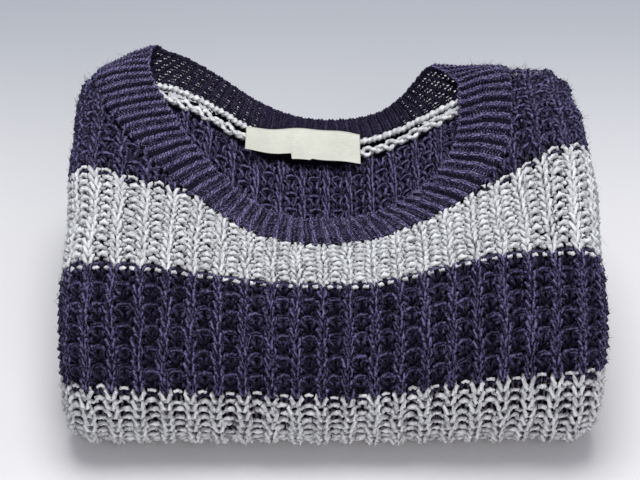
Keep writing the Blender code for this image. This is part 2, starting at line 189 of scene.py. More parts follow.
SHIFT = np.zeros(3)
low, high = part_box("front_panel")
own = front_point(*np.meshgrid(np.linspace(-0.185, 0.185, 201), np.linspace(-9.4, 84, 400)))
own_low, own_high = own.reshape(-1, 3).min(axis=0), own.reshape(-1, 3).max(axis=0)
SHIFT = np.array([(low[0] + high[0] - own_low[0] - own_high[0]) / 2, low[1] - own_low[1], 0.0])
print("the pile is centred by", np.round(SHIFT * 1000, 2), "mm; box error",
      np.round((own_high + SHIFT - np.array(high)) * 1000, 2))

# %% [markdown]
# ## Shader maths in plain Python
# Blender's materials are graphs of nodes. To keep them readable, one small class wraps a socket, so that
# `1 - mask * 0.3` adds its Math nodes by itself. Every other node comes from one method that takes its type, its
# settings and the values or links of its inputs.

# %% A socket that does arithmetic
class Value:
    def __init__(self, tree, socket):
        self.tree, self.socket = tree, socket

    def maths(self, operation, other, swap=False):
        node = self.tree.nodes.new("ShaderNodeMath")
        node.operation = operation
        for slot, item in zip(node.inputs, (other, self) if swap else (self, other)):
            if isinstance(item, Value):
                self.tree.links.new(item.socket, slot)
            else:
                slot.default_value = item
        return Value(self.tree, node.outputs[0])

    def __add__(self, other):
        return self.maths("ADD", other)

    def __mul__(self, other):
        return self.maths("MULTIPLY", other)

    def __sub__(self, other):
        return self.maths("SUBTRACT", other)

    def __rsub__(self, other):
        return self.maths("SUBTRACT", other, swap=True)

    __radd__, __rmul__ = __add__, __mul__


print("a Value adds a Math node for each sign in a formula")


# %% A material whose sockets go by name
class Finish:
    """A material with a Principled shader, whose constants are given by socket name."""

    def __init__(self, name, **constants):
        self.material = bpy.data.materials.new(name)
        self.material.use_nodes = True
        self.tree = self.material.node_tree
        self.shader = self.tree.nodes["Principled BSDF"]
        for socket, constant in constants.items():
            self.shader.inputs[socket.replace("_", " ")].default_value = constant

    def node(self, kind, settings=None, output=0, **inputs):
        made = self.tree.nodes.new(kind)
        for key, setting in (settings or {}).items():
            setattr(made, key, setting)
        for key, item in inputs.items():
            slot = made.inputs[int(key[1:]) if key[0] == "i" and key[1:].isdigit() else key.replace("_", " ")]
            if isinstance(item, Value):
                self.tree.links.new(item.socket, slot)
            else:
                slot.default_value = item
        return Value(self.tree, made.outputs[output])

    def mix(self, share, colour, other, blend="MIX"):
        """One colour over another, each a link or three or four numbers."""
        colour, other = ((*c, 1) if isinstance(c, tuple) and len(c) == 3 else c for c in (colour, other))
        return self.node("ShaderNodeMix", {"data_type": "RGBA", "blend_type": blend}, output=2, i0=share, i6=colour,
                         i7=other)

    def feed(self, socket, value):
        self.tree.links.new(value.socket, self.shader.inputs[socket])


print("a Finish makes its nodes with node and mix, and feed links them to the shader")

# %% [markdown]
# ## Cotton yarn
# The yarn is soft cotton of three plies, twisted and a little fuzzy. The plies are in the mesh: each tube has six
# sides, three high and three low, which wind round it. The material adds the fibres, as noise drawn out along the
# yarn, and lets the colour wander a little from place to place, as dye does. It also paints shade into the grooves
# between the plies and a highlight on their crests, and darkens the colour wherever the mesh marks painted shade.

# %% Yarn materials
TWIST = 0.0060             # how far along the yarn one ply takes the place of the next
PLIES = 3
FIBRE_SCALE = (620.0, 6.0, 1.0)   # streaks for each metre along the yarn, and for its way round
DYE_SCALE, DYE_SHARE = 55.0, 0.6  # the patches of dye: how many for each metre, and how much they count
NAVY_SHEEN = (0.40, 0.38, 0.70, 1)
RED_BLUE_PAINTED_SHADE = 0.95    # in the painted shade of the crevices a little more red and blue is left than green


def yarn_finish(name, colour, shade, fuzz, pale_colour=None, pale_shade=None, ply=0.45, crevice_painted_shade=0.90,
                tone=0.45, fleck=1.1):
    """Between the yarn's colour and its darker shade, by (fine noise - 0.5) fleck + (coarse noise - 0.5) times the
    dye's share + tone - strands times ply. The strands are the cosine of three turns round and one in each TWIST
    along; in the colour they are painted shade in the grooves between the plies and painted highlight on the
    plies' crests, and in the bump they are the plies' relief. Where "pale" is 1 the pale pair of colours is used.
    The painted shade that each point carries from its mesh then darkens the colour by the given share, a little
    less in red and blue."""
    sheen = (*(0.5 + 0.5 * np.array(colour)), 1) if min(colour) > 0.4 else NAVY_SHEEN
    finish = Finish(name, Roughness=0.9, Specular_IOR_Level=0.08, Sheen_Weight=fuzz, Sheen_Roughness=0.6,
                    Sheen_Tint=sheen)
    place = finish.node("ShaderNodeTexCoord", output=3)
    along = finish.node("ShaderNodeUVMap", {"uv_map": "yarn"})
    fibres = finish.node("ShaderNodeMapping", Vector=along, Scale=FIBRE_SCALE)
    fine = finish.node("ShaderNodeTexNoise", {"noise_dimensions": "2D"}, Vector=fibres, Scale=1.0, Detail=2.0)
    coarse = finish.node("ShaderNodeTexNoise", Vector=place, Scale=DYE_SCALE, Detail=2.0)
    length = finish.node("ShaderNodeSeparateXYZ", output=0, Vector=along)
    round_it = finish.node("ShaderNodeSeparateXYZ", output=1, Vector=along)
    strands = (round_it * (PLIES * 2 * np.pi) + length * (2 * np.pi / TWIST)).maths("COSINE", 0.0)
    # Painted shade and highlight: the strands darken the colour in the grooves between the plies and lighten it on
    # their crests.
    mask = (fine - 0.5) * fleck + (coarse - 0.5) * DYE_SHARE + tone - strands * ply
    mixed = finish.mix(mask, colour, shade)
    if pale_colour is not None:
        pale = finish.node("ShaderNodeAttribute", {"attribute_name": "pale"}, output=2)
        mixed = finish.mix(pale, mixed, finish.mix(mask, pale_colour, pale_shade))
    # Painted shade: each point's share of shade from its mesh, for crevices, sunken squares and the yarns' sides,
    # darkens the colour.
    deep = finish.node("ShaderNodeAttribute", {"attribute_name": "deep"}, output=2)
    painted_shade_dims = [1.0 - deep * (crevice_painted_shade * part) for part in (RED_BLUE_PAINTED_SHADE, 1.0, RED_BLUE_PAINTED_SHADE)]
    painted_shade_colour = finish.node("ShaderNodeCombineColor", i0=painted_shade_dims[0], i1=painted_shade_dims[1], i2=painted_shade_dims[2])
    finish.feed("Base Color", finish.mix(1.0, mixed, painted_shade_colour, "MULTIPLY"))
    finish.feed("Normal", finish.node("ShaderNodeBump", Height=fine + strands * ply, Strength=0.6, Distance=0.0005))
    return finish.material


# %% The four yarns
NAVY_LIGHT, NAVY_DARK = (0.150, 0.132, 0.262), (0.003, 0.003, 0.009)
BAND_LIGHT = (0.222, 0.190, 0.365)
GREY_LIGHT, GREY_DARK = (0.69, 0.705, 0.705), (0.46, 0.465, 0.48)
NAVY = yarn_finish("navy_cotton", NAVY_LIGHT, NAVY_DARK, 0.1, ply=0.55, tone=0.64, fleck=2.6)
GREY = yarn_finish("grey_cotton", GREY_LIGHT, GREY_DARK, 0.05, ply=0.35, tone=0.35)
BAND = yarn_finish("navy_band_cotton", BAND_LIGHT, NAVY_DARK, 0.1, ply=0.35, tone=0.58, fleck=2.6)
STRIPED = yarn_finish("striped_cotton", NAVY_LIGHT, NAVY_DARK, 0.1, GREY_LIGHT, GREY_DARK, ply=0.45, tone=0.66,
                      fleck=3.0)
print("the yarns are", [finish.name for finish in (NAVY, GREY, BAND, STRIPED)])

# %% [markdown]
# ## Loops
# A knitter's yarn crosses a row as a wave: it goes up one side of a stitch, over its head and down the other side,
# and passes along the bottom to the next one. The stitch leans in at its foot and out at its head, which is what
# makes a V. Whether it is a knit or a purl decides only what passes in front: the legs in a knit stitch, the head
# and the feet in a purl. The head is held by the loop of the next row, so that row's kind decides for it.

# %% The shape of a loop
HEAD_SHARE = np.linspace(0.0, 0.5, 7)     # from the foot to the head, in shares of a stitch
KNIT_RISE = np.array([-1.0, -1.00, -0.10, 0.85, 0.25, -0.1, 0.0])   # how a knit stitch's own loop stands out
PURL_RISE = np.array([0.85, -0.25, -0.90, -0.95, -0.25, 0.0, 0.0])  # and a purl's
NEXT_RISE = np.array([0.0, 0.0, 0.05, 0.40, 0.55, -0.75, -1.0])     # how the loop above it lets it stand out
SWAY, STRETCH, SWELL = 0.0004, 0.06, 0.15  # how uneven the loops are: metres across, and shares of height and rise
print("a loop is shaped by", len(HEAD_SHARE), "places from its foot to its head")


# %% The path of the yarns
def spread(values, steps):
    """Values per stitch, carried smoothly from one stitch's middle to the next: rows by points."""
    count = values.shape[1]
    at = np.clip((np.arange(count * steps + 1) / steps) - 0.5, 0, count - 1)
    left = np.minimum(at.astype(int), count - 2)
    share = at - left
    return values[:, left] * (1 - share) + values[:, left + 1] * share


def yarn_waves(widths, leans, kinds, next_kinds, steps, rng, unevenness):
    """Across, row offset and rise of each row's yarn. With f the share of a stitch that is passed, across is
    width f plus lean sin(4 pi f), the offset is cos(2 pi f) and the rise mixes the two profiles by kind."""
    rows, count = kinds.shape
    f = np.arange(steps) / steps
    fold = np.minimum(f, 1 - f)
    own = np.where(kinds[:, :, None] > 0, np.interp(fold, HEAD_SHARE, KNIT_RISE),
                   np.interp(fold, HEAD_SHARE, PURL_RISE))
    following = np.interp(fold, HEAD_SHARE, NEXT_RISE)
    widths, leans = np.broadcast_to(widths, (rows, count)), np.broadcast_to(leans, (rows, count))
    ends = np.cumsum(widths, axis=1)
    across = (ends - widths)[..., None] + widths[..., None] * f + leans[..., None] * np.sin(4 * np.pi * f)
    across = across.reshape(rows, -1)
    rise = own + next_kinds[:, :, None] * following
    rise[:, :, 0] = -(kinds + np.roll(kinds, 1, axis=1)) / 2 - 0.1
    rise = rise.reshape(rows, -1)
    swing = np.cos(2 * np.pi * f)
    swing = np.where(swing < 0, -np.abs(swing) ** 0.8, swing)
    offset = np.broadcast_to(swing, (rows, count, steps)).reshape(rows, -1)
    across = np.concatenate([across, ends[:, -1:]], axis=1)
    rise = np.concatenate([rise, rise[:, :1]], axis=1)
    offset = np.concatenate([offset, np.ones((rows, 1))], axis=1)
    sway, stretch, swell = (spread(rng.normal(size=(rows, count)), steps) * unevenness for _ in range(3))
    return across + sway * SWAY, offset * (1 + STRETCH * stretch), rise * (1 + SWELL * swell)


print("the loops differ by", round(STRETCH * 100), "% in height and", round(SWELL * 100), "% in rise")

# %% [markdown]
# ## From a path to a yarn
# A yarn could be a curve with a round bevel, but then every stitch would cost dozens of faces and the plies would
# be lost. Here each yarn is a tube of few sides, laid out as one array for all rows at once: a ring round each
# point of the path, and quads from ring to ring. Each point also keeps two numbers for the material: how much
# painted shade darkens its colour, more where it lies low in a crevice, and whether its yarn is the pale one.

# %% Tubes along the yarns
PROBE = 0.001              # how far above a surface its outward direction is felt for


def unit(vectors):
    return vectors / np.maximum(np.linalg.norm(vectors, axis=-1, keepdims=True), 1e-12)


def laid_on(surface, *place, out):
    """The yarns' middles on a surface and the outward direction there: from each to a point PROBE further out."""
    centre = surface(*place, out)
    return centre, unit(surface(*place, out + PROBE) - centre)


def add_mesh(name, points, faces, finish, uv=None, values=None):
    """A mesh piece from arrays, on the root body: faces is a list of (count by corners) arrays of point numbers."""
    used, packed = np.unique(np.concatenate([f.ravel() for f in faces]), return_inverse=True)
    sizes = np.concatenate([np.full(len(f), f.shape[1]) for f in faces])
    mesh = bpy.data.meshes.new(name)
    mesh.vertices.add(len(used))
    mesh.vertices.foreach_set("co", points[used].astype(np.float32).ravel())
    mesh.loops.add(len(packed))
    mesh.loops.foreach_set("vertex_index", packed.astype(np.int32))
    mesh.polygons.add(len(sizes))
    mesh.polygons.foreach_set("loop_start", np.concatenate([[0], np.cumsum(sizes)[:-1]]).astype(np.int32))
    mesh.polygons.foreach_set("use_smooth", np.ones(len(sizes), bool))
    if uv is not None:
        layer = mesh.uv_layers.new(name="yarn")
        layer.data.foreach_set("uv", np.concatenate([u.reshape(-1, 2) for u in uv]).astype(np.float32).ravel())
    for key, value in (values or {}).items():
        mesh.attributes.new(key, "FLOAT", "POINT").data.foreach_set("value", value.ravel()[used].astype(np.float32))
    mesh.update()
    mesh.validate()
    piece = bpy.data.objects.new(name, mesh)
    bpy.context.scene.collection.objects.link(piece)
    mesh.materials.append(finish)
    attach(piece, "root")
    print(name, "has", int((sizes - 2).sum()), "triangles")
    return piece


# %% Yarns as tubes
RIM_PAINTED_SHADE, PALE_RIM_PAINTED_SHADE = 0.75, 0.40    # painted shade: how much darker a yarn's colour is made where it turns away from the cloth's face
ROW_TURN = 2.4             # how far one row's rings are turned from the last row's
print("a yarn has three high and three low sides, which wind round it")


def yarn_tubes(name, centre, outward, radius, finish, sides=6, ply=0.16, turn=0.0125, keep=None, **values):
    """Rings round each centre: the radius is higher on every other side, and the rings turn once in each length
    of turn, so three plies wind round the yarn. Points that aren't kept are left out, and the cut ends closed. Each
    point also gets painted shade where its ring turns away from the cloth's face."""
    rows, count = centre.shape[:2]
    keep = np.ones((rows, count), bool) if keep is None else keep
    # Painted shade: how much a yarn's colour is darkened on the sides that turn away from the cloth's face.
    rim = PALE_RIM_PAINTED_SHADE if finish is GREY else RIM_PAINTED_SHADE
    forward = unit(np.gradient(centre, axis=1))
    side = unit(np.cross(outward, forward))
    up = np.cross(forward, side)
    length = np.concatenate([np.zeros((rows, 1)),
                             np.cumsum(np.linalg.norm(np.diff(centre, axis=1), axis=-1), axis=1)], axis=1)
    k = np.arange(sides)
    start = np.arange(rows) * ROW_TURN
    angle = 2 * np.pi * (k / sides + (length / turn + start[:, None])[:, :, None])
    reach = (np.broadcast_to(radius, (rows, count))[:, :, None] * (1 + ply * (-1.0) ** k))[..., None]
    ring = centre[:, :, None] + reach * (np.cos(angle)[..., None] * up[:, :, None]
                                         + np.sin(angle)[..., None] * side[:, :, None])
    index = np.arange(rows * count * sides).reshape(rows, count, sides)
    whole = keep[:, :-1] & keep[:, 1:]
    a, b = index[:, :-1], index[:, 1:]
    quads = np.stack([a, np.roll(a, -1, axis=2), np.roll(b, -1, axis=2), b], axis=-1)[whole].reshape(-1, 4)
    u0, u1 = (np.broadcast_to(item[:, :, None], a.shape) for item in (length[:, :-1], length[:, 1:]))
    v0, v1 = np.broadcast_to(k / sides, a.shape), np.broadcast_to((k + 1) / sides, a.shape)
    uv = np.stack([np.stack(pair, -1) for pair in ((u0, v0), (u0, v1), (u1, v1), (u1, v0))], axis=-2)
    padded = np.pad(whole, ((0, 0), (1, 1)))
    starts = index[padded[:, 1:] & ~padded[:, :-1]][:, ::-1]
    ends = index[padded[:, :-1] & ~padded[:, 1:]]
    caps = np.concatenate([starts, ends])
    cap_uv = np.zeros((*caps.shape, 2))
    values = {key: np.broadcast_to(np.asarray(value, float)[:, :, None], index.shape)
              for key, value in values.items()}
    deep = values.get("deep", np.zeros(index.shape))
    # Painted shade: the sides of each ring that turn away from the cloth's face are darkened, on top of what the caller
    # gives.
    values["deep"] = deep + (1 - deep) * rim * (1 - smoothstep(np.cos(angle), -0.3, 0.85))
    return add_mesh(name, ring.reshape(-1, 3), [quads, caps], finish, [uv[whole], cap_uv], values)


# %% [markdown]
# ## The front panel's knitting
# Across, the front repeats one narrow knit column and one wide column. In the grey stripes the wide column is all
# purl, which gives a plain rib. In the navy stripes it is purl on every other row, which gives the waffle: squares
# that sink between the knit columns. The stripes change every twelve rows. The pattern could be painted on a flat
# sheet, but the ragged change of colour comes from the loops themselves, and so do the shadows in the squares, which
# painted shade in the yarns' colour makes darker still.

# %% The rib's repeat and the stripes
KNIT_WIDTH, REPEAT, REPEATS = 0.0062, 0.0156, 25
YOKE_END, STRIPE = 11, 12  # the last row of the navy yoke, and the rows of each stripe below it
RADIUS = 0.00142
LOOP = 0.77                # half a loop's height, in rows
DEPTH = 0.0015
LAYER = 0.0033             # how deep the middle of the yarns lies below the outer face
WIDTHS = np.tile([KNIT_WIDTH, REPEAT - KNIT_WIDTH], REPEATS + 1)[:-1]
LEANS = np.tile([0.0016, 0.0022], REPEATS + 1)[:-1]
ACROSS_START = -WIDTHS.sum() / 2
print("the front has", REPEATS, "repeats of", round(REPEAT * 1000, 1), "mm")


def stripe_is_grey(row):
    """The yoke is navy down to YOKE_END, and from there the colours change every 12 rows."""
    return (np.asarray(row) >= YOKE_END) & ((np.asarray(row) - YOKE_END) % (2 * STRIPE) < STRIPE)


def wide_kind(row):
    """The wide column is all purl in the grey rib, and purl on every other row in the navy waffle."""
    return np.where(stripe_is_grey(row) | (np.asarray(row) % 2 == 0), -1.0, 1.0)


def rib_kinds(wide, count):
    """Knit is 1 and purl -1, rows by columns: the narrow columns are always knit, the wide ones as given by row."""
    kinds = np.ones((len(wide), count))
    kinds[:, 1::2] = wide[:, None]
    return kinds


def kinds_of(rows):
    return rib_kinds(wide_kind(rows), len(WIDTHS))


def column_relief(across):
    """1 in the middle of a narrow column and -1 in the middle of a wide one."""
    return np.cos(2 * np.pi * (across - ACROSS_START - KNIT_WIDTH / 2) / REPEAT)


print("grey rows start at", [row for row in range(-9, 84) if stripe_is_grey(row) and not stripe_is_grey(row - 1)])

# %% [markdown]
# ## The neckline
# The neck is cut as a wide, round opening, and the ribbed band is sewn into it. Lying folded, the front half of the
# band is a flat arc, and the back half stands up behind it. The arc is a superellipse with a power for each side,
# because the right side is drawn fuller than the left. The back half is given by a few sections from seam to edge.
# The front's yarns are left out inside the seam, so the cloth ends where the band begins.

# %% The neckline
NeckCurve = namedtuple("NeckCurve", "middle half_width top lowest left_power right_power")
NECK_SEAM = NeckCurve(-0.016, 0.1370, 0.100, -0.0395, 1.95, 4.6)
NECK_EDGE = NeckCurve(-0.018, 0.1060, 0.097, -0.0105, 1.75, 4.8)
BandSection = namedtuple("BandSection", "seam_x seam_y seam_lift edge_x edge_y edge_z facing")
BACK_BAND = (
    BandSection(-0.152, 0.108, 0.0070, -0.122, 0.1140, 0.1360, 0),
    BandSection(-0.148, 0.098, 0.0000, -0.114, 0.1130, 0.1310, -70),
    BandSection(-0.122, 0.080, 0.0000, -0.100, 0.1110, 0.1285, -90),
    BandSection(-0.088, 0.073, 0.0000, -0.076, 0.1050, 0.1262, -90),
    BandSection(-0.053, 0.064, 0.0000, -0.050, 0.0985, 0.1230, -90),
    BandSection(-0.010, 0.061, 0.0000, -0.010, 0.0940, 0.1190, -90),
    BandSection(0.036, 0.062, 0.0000, 0.031, 0.0970, 0.1185, -90),
    BandSection(0.064, 0.067, 0.0000, 0.050, 0.1040, 0.1225, -90),
    BandSection(0.092, 0.080, 0.0000, 0.060, 0.1110, 0.1270, -70),
    BandSection(0.117, 0.104, 0.0065, 0.072, 0.1160, 0.1335, 0),
)
UNDER_ROW = 40             # from this row on the front lies under the pile, where there is no neck
NECK_ENDS = (4, 176)       # degrees round the front half
FRONT_SECTIONS = 23
FRONT_BAND_ANGLES = np.linspace(*NECK_ENDS, FRONT_SECTIONS)
BAND_DIP = 0.004           # how far the band's free edge dips into the neck
print("the front half of the neck is", round(2 * NECK_EDGE.half_width * 1000), "mm wide before the pile settles")


# %% The curve of the neck
def neck_curve(curve, angles):
    """A superellipse about the middle: across and down are cosine and sine, and the reach along them is one over
    the root of the sum of their powers."""
    across, down = np.cos(np.radians(angles)), np.sin(np.radians(angles))
    power = np.where(across < 0, curve.left_power, curve.right_power)
    reach = (np.abs(across) ** power + np.abs(down) ** power) ** (-1 / power)
    return curve.middle + curve.half_width * reach * across, curve.top + (curve.lowest - curve.top) * reach * down


def side_depth(x):
    """How far the cloth has turned down at x: the side radius less the root of its square less the way's square."""
    beyond = np.clip(np.abs(x) - FLAT_HALF, 0.0, SIDE_RADIUS)
    return SIDE_RADIUS - np.sqrt(SIDE_RADIUS ** 2 - beyond ** 2)


print("the front of the neck is at y =", neck_curve(NECK_EDGE, 90)[1].round(4), "m")


# %% How far from the seam
def from_seam(across, row):
    """How far a point of the front lies outside the neck seam, in metres; inside the neck it is negative."""
    x = np.sign(across) * (np.minimum(np.abs(across), FLAT_HALF)
                           + SIDE_RADIUS * np.sin(np.maximum(np.abs(across) - FLAT_HALF, 0.0) / SIDE_RADIUS))
    y = np.broadcast_to(path_point(row)[0], x.shape)
    seam_x, seam_y = neck_curve(NECK_SEAM, np.linspace(*NECK_ENDS, 120))
    seam_x = np.concatenate([[seam_x[0]], seam_x, [seam_x[-1]]])
    seam_y = np.concatenate([[0.16], seam_y, [0.16]])
    flat_x, flat_y = x.ravel(), y.ravel()
    a, b = np.stack([seam_x[:-1], seam_y[:-1]]), np.stack([seam_x[1:], seam_y[1:]])
    run = b - a
    rel_x, rel_y = flat_x[:, None] - a[0], flat_y[:, None] - a[1]
    share = np.clip((rel_x * run[0] + rel_y * run[1]) / (run ** 2).sum(axis=0), 0, 1)
    away = np.sqrt(((rel_x - share * run[0]) ** 2 + (rel_y - share * run[1]) ** 2).min(axis=1))
    inside = (flat_x > seam_x.min()) & (flat_x < seam_x.max())
    inside &= flat_y > np.interp(flat_x, seam_x[::-1], seam_y[::-1])
    return np.where(row > UNDER_ROW, 1.0, (away * np.where(inside, -1, 1)).reshape(x.shape))


print("row 23 lies", round(float(from_seam(np.zeros(1), np.full(1, 23.0))[0]) * 1000), "mm below the neck's seam")

# %% [markdown]
# ## Four stripes of knitting
# Each stripe is one piece of mesh, with a small table of its own for how wide its knit column is, how far the loops
# lean, how thick the yarn looks at its head, and how deep the squares sink. Real cloth is never even, so the rows
# wander a little and are drawn down beside the neck. The last row of a stripe hangs in the first row of the next
# colour, so its heads show as short dashes below the edge.

# %% How each stripe is knitted
# The last column of a Rib is how low a yarn may lie before painted shade starts to darken its colour.
Rib = namedtuple("Rib", "knit_width knit_lean purl_lean radius head leg sink hollow relief uneven shade_from")
LOWEST_YARN = 0.0019       # where the cloth rests on the table, a yarn's middle lies this high
GREY_RIB = Rib(0.0072, 0.0020, 0.0014, 0.00152, 0.26, -0.35, 0.0, 0.0, 0.0003, 1.4, 0.0040)
LOWER_GREY_RIB = Rib(0.0076, 0.0022, 0.0013, 0.00148, 0.12, -0.35, 0.0005, 0.0, 0.0006, 2.0, 0.0033)
NAVY_WAFFLE = Rib(0.0060, 0.0016, 0.0028, 0.00150, 0.0, 0.30, 0.0008, 0.0014, 0.0007, 1.7, 0.0020)
NAVY_YOKE = Rib(0.0066, 0.0018, 0.0026, 0.00158, 0.0, 0.20, 0.0004, 0.0008, 0.0002, 2.2, 0.0020)
print("the grey rib's knit column is", round(GREY_RIB.knit_width * 1000, 1), "mm wide and the waffle's",
      round(NAVY_WAFFLE.knit_width * 1000, 1), "mm")


# %% How the rows wander
def wander(across, row, seed):
    """A slow unevenness between -1 and 1: the product of two waves of different lengths, summed over three pairs."""
    rng = np.random.default_rng(seed)
    total = 0.0
    for _ in range(3):
        length, height, a, b = rng.uniform(0.05, 0.13), rng.uniform(9, 24), *rng.uniform(0, 2 * np.pi, 2)
        total = total + np.sin(2 * np.pi * across / length + a + 0.15 * row) * np.cos(2 * np.pi * row / height + b)
    return total / 3


BEND_ACROSS = (-0.153, -0.141, -0.124, -0.112, -0.090, 0.080, 0.109, 0.127, 0.1425, 0.160)
BEND_ROWS = (0.5, 1.1, 2.0, 2.1, 2.2, 4.5, 3.5, 1.9, 0.3, -0.3)


def row_bend(across, row):
    """How many rows the cloth is drawn down beside the neck: read from a table across, and from YOKE_END on it
    fades evenly over one stripe."""
    return np.interp(across, BEND_ACROSS, BEND_ROWS) * np.clip((YOKE_END + STRIPE - row) / STRIPE, 0, 1)


print("beside the neck the rows are drawn down by up to", max(BEND_ROWS), "rows")


# %% The yarns of one stripe
WANDER_ACROSS, WANDER_ROWS, WANDER_OUT = 0.0012, 0.18, 0.0008
FIRST_HEADS_THINNER, LAST_FEET_THINNER, LAST_FEET_OUT = 0.4, 0.15, 0.0014
WIDE_PAINTED_SHADE = 0.30          # painted shade: how much darker the colour of the waffle's squares is made
FULL_PAINTED_SHADE_DEPTH = 0.0058           # painted shade: from this depth inwards a yarn's colour is fully darkened
PALE_ROWS = (-6.5, -4.5)   # pairs of rows at the shoulder that are pale: beside the neck, and in one patch
PALE_PATCH, PALE_PATCH_HALF = 0.100, 0.013
FUZZY = {}


def pale_rows(across, rows, rise):
    """True on the pale rows: all along both shoulders' ends, and on the heads of a small patch at the right."""
    ends = (across > 0.06) | (across < -0.142)
    patch = (np.abs(across - PALE_PATCH) < PALE_PATCH_HALF) & (rise > 0.3)
    return ((np.abs(rows - PALE_ROWS[0]) < 1) & ends) | ((np.abs(rows - PALE_ROWS[1]) < 1) & patch)


def front_yarns(name, rows, rib, finish, steps=12):
    """One stripe. Out of the cloth is rise times DEPTH plus the rib's relief, less the depth of the yarns' layer and
    how far the wide column sinks, plus the hollow times a wave with two rows to its length. The yarn is thicker at
    the heads of the wide column by the rib's head, and thinner or thicker along its legs by the rib's leg. Its
    colour gets painted shade, more the lower a yarn lies and more in the waffle's sunken squares."""
    rng = np.random.default_rng(abs(int(rows[0])) + 5)
    rows_down = rows[:, None]
    count = 2 * REPEATS + 1
    widths = np.tile([rib.knit_width, REPEAT - rib.knit_width], REPEATS + 1)[:-1]
    leans = np.tile([rib.knit_lean, rib.purl_lean], REPEATS + 1)[:-1]
    across, offset, rise = yarn_waves(widths, leans, kinds_of(rows), kinds_of(rows - 1), steps, rng, rib.uneven)
    across = across - widths.sum() / 2
    row = rows_down + LOOP * offset
    relief = np.cos(2 * np.pi * (across + widths.sum() / 2 - rib.knit_width / 2) / REPEAT)
    wide = smoothstep(-relief, -0.35, 0.7)
    out = (rise * DEPTH + relief * rib.relief - LAYER - wide * rib.sink
           + wide * rib.hollow * (np.cos(np.pi * (row - 1 + 0.4)) - 0.4))
    up_row = np.repeat(((rows % 2 == 1) | (rib.leg < 0))[:, None], row.shape[1], axis=1)
    heads = wide * smoothstep(rise, 0.0, 0.8)
    thickness = rib.radius * (1 + rib.head * heads
                              + rib.leg * wide * up_row * (1 - smoothstep(np.abs(offset), 0.6, 0.95)))
    plain_rib = rib.head > 0
    thickness = thickness * (1 - FIRST_HEADS_THINNER * plain_rib * (rows_down == rows[0]) * heads)
    last_foot = plain_rib * (rows_down == rows[-1]) * smoothstep(offset, 0.5, 0.9)
    thickness, out = thickness * (1 - LAST_FEET_THINNER * last_foot), out + LAST_FEET_OUT * last_foot
    across = across + WANDER_ACROSS * wander(across, row, 3)
    row = row + WANDER_ROWS * wander(across, row, 4) + row_bend(across, row)
    out = out + WANDER_OUT * wander(across, row, 5)
    centre, outward = laid_on(front_point, across, row, out=out)
    centre[..., 2] = np.maximum(centre[..., 2], LOWEST_YARN)
    room = from_seam(across, row)
    FUZZY[name] = (centre, outward, (room > 0.001) & (out > -0.0035), rib.radius)
    thickness = thickness * (0.1 + 0.9 * smoothstep(room, 0.0, 0.0015))
    # Painted shade: the colour darkens the lower a yarn lies, and more in the waffle's sunken squares.
    deep = smoothstep(-out, rib.shade_from, FULL_PAINTED_SHADE_DEPTH) + WIDE_PAINTED_SHADE * wide * (rib.hollow > 0.001)
    return yarn_tubes(name, centre, outward, thickness, finish, ply=0.2, keep=room > 0, deep=np.clip(deep, 0, 1),
                      pale=pale_rows(across, rows_down, rise))


# %% Knit the front
for number, (first, last) in enumerate([(-9, 11), (11, 23), (23, 35), (35, 47)]):
    if stripe_is_grey(first):
        rib, finish = (LOWER_GREY_RIB if first > 30 else GREY_RIB), GREY
    else:
        rib, finish = (NAVY_YOKE if first < 0 else NAVY_WAFFLE), STRIPED
    front_yarns(f"front_yarns_{number + 1}", np.arange(first, last), rib, finish)

# %% [markdown]
# ## The lining
# Between the loops one sees into the cloth, never through it, because there is always more yarn behind. A thin wall
# below the yarns stands for that yarn, and its near-black colour is painted shade, as that yarn looks in the loops'
# shadow. It closes the gaps, and as a plain sheet it can also say what size the cloth was cut to. It is made of two
# matching grids with a rim, so it has a thickness and an inside.

# %% A thin closed wall
# Painted shade: the lining is near black, as the yarn behind the loops looks in their shadow.
LINING_PAINTED_SHADE = yarn_finish("navy_lining_painted_shade", (0.006, 0.005, 0.012), (0.003, 0.0025, 0.006), 0.0)


def closed_sheet(name, outer, inner, finish, keep=None):
    """A thin wall between two matching grids, with a rim wherever the kept faces end. Its signed volume, the sum of
    each face's centre dot its area vector, tells which way the faces look."""
    rows, columns = outer.shape[:2]
    keep = np.ones((rows - 1, columns - 1), bool) if keep is None else keep
    index = np.arange(rows * columns).reshape(rows, columns)
    under = rows * columns
    face = np.stack([index[:-1, :-1], index[:-1, 1:], index[1:, 1:], index[1:, :-1]], axis=-1)
    top = face[keep]
    sides = []
    around = np.pad(keep, 1)
    for corner, (dr, dc) in enumerate([(-1, 0), (0, 1), (1, 0), (0, -1)]):
        beside = around[1 + dr:around.shape[0] - 1 + dr, 1 + dc:around.shape[1] - 1 + dc]
        open_edge = face[keep & ~beside]
        a, b = open_edge[:, corner], open_edge[:, (corner + 1) % 4]
        sides.append(np.stack([b, a, a + under, b + under], axis=-1))
    faces = np.concatenate([top, top[:, ::-1] + under, *sides])
    points = np.concatenate([outer.reshape(-1, 3), inner.reshape(-1, 3)])
    a, b, c, d = (points[faces[:, i]] for i in range(4))
    if (np.cross(c - a, d - b) * (a + b + c + d)).sum() < 0:
        faces = faces[:, ::-1]
    return add_mesh(name, points, [faces], finish)


def lining_on(name, surface, *place, outs, keep=None):
    """The lining of a surface, near black as painted shade for the yarn behind: between two distances out of it,
    outs, which are mostly below it.
    """
    return closed_sheet(name, surface(*place, outs[0]), surface(*place, outs[1]), LINING_PAINTED_SHADE, keep)


def cell_middles(grid):
    return (grid[:-1, :-1] + grid[1:, 1:]) / 2


print("the linings are", LINING_PAINTED_SHADE.name)

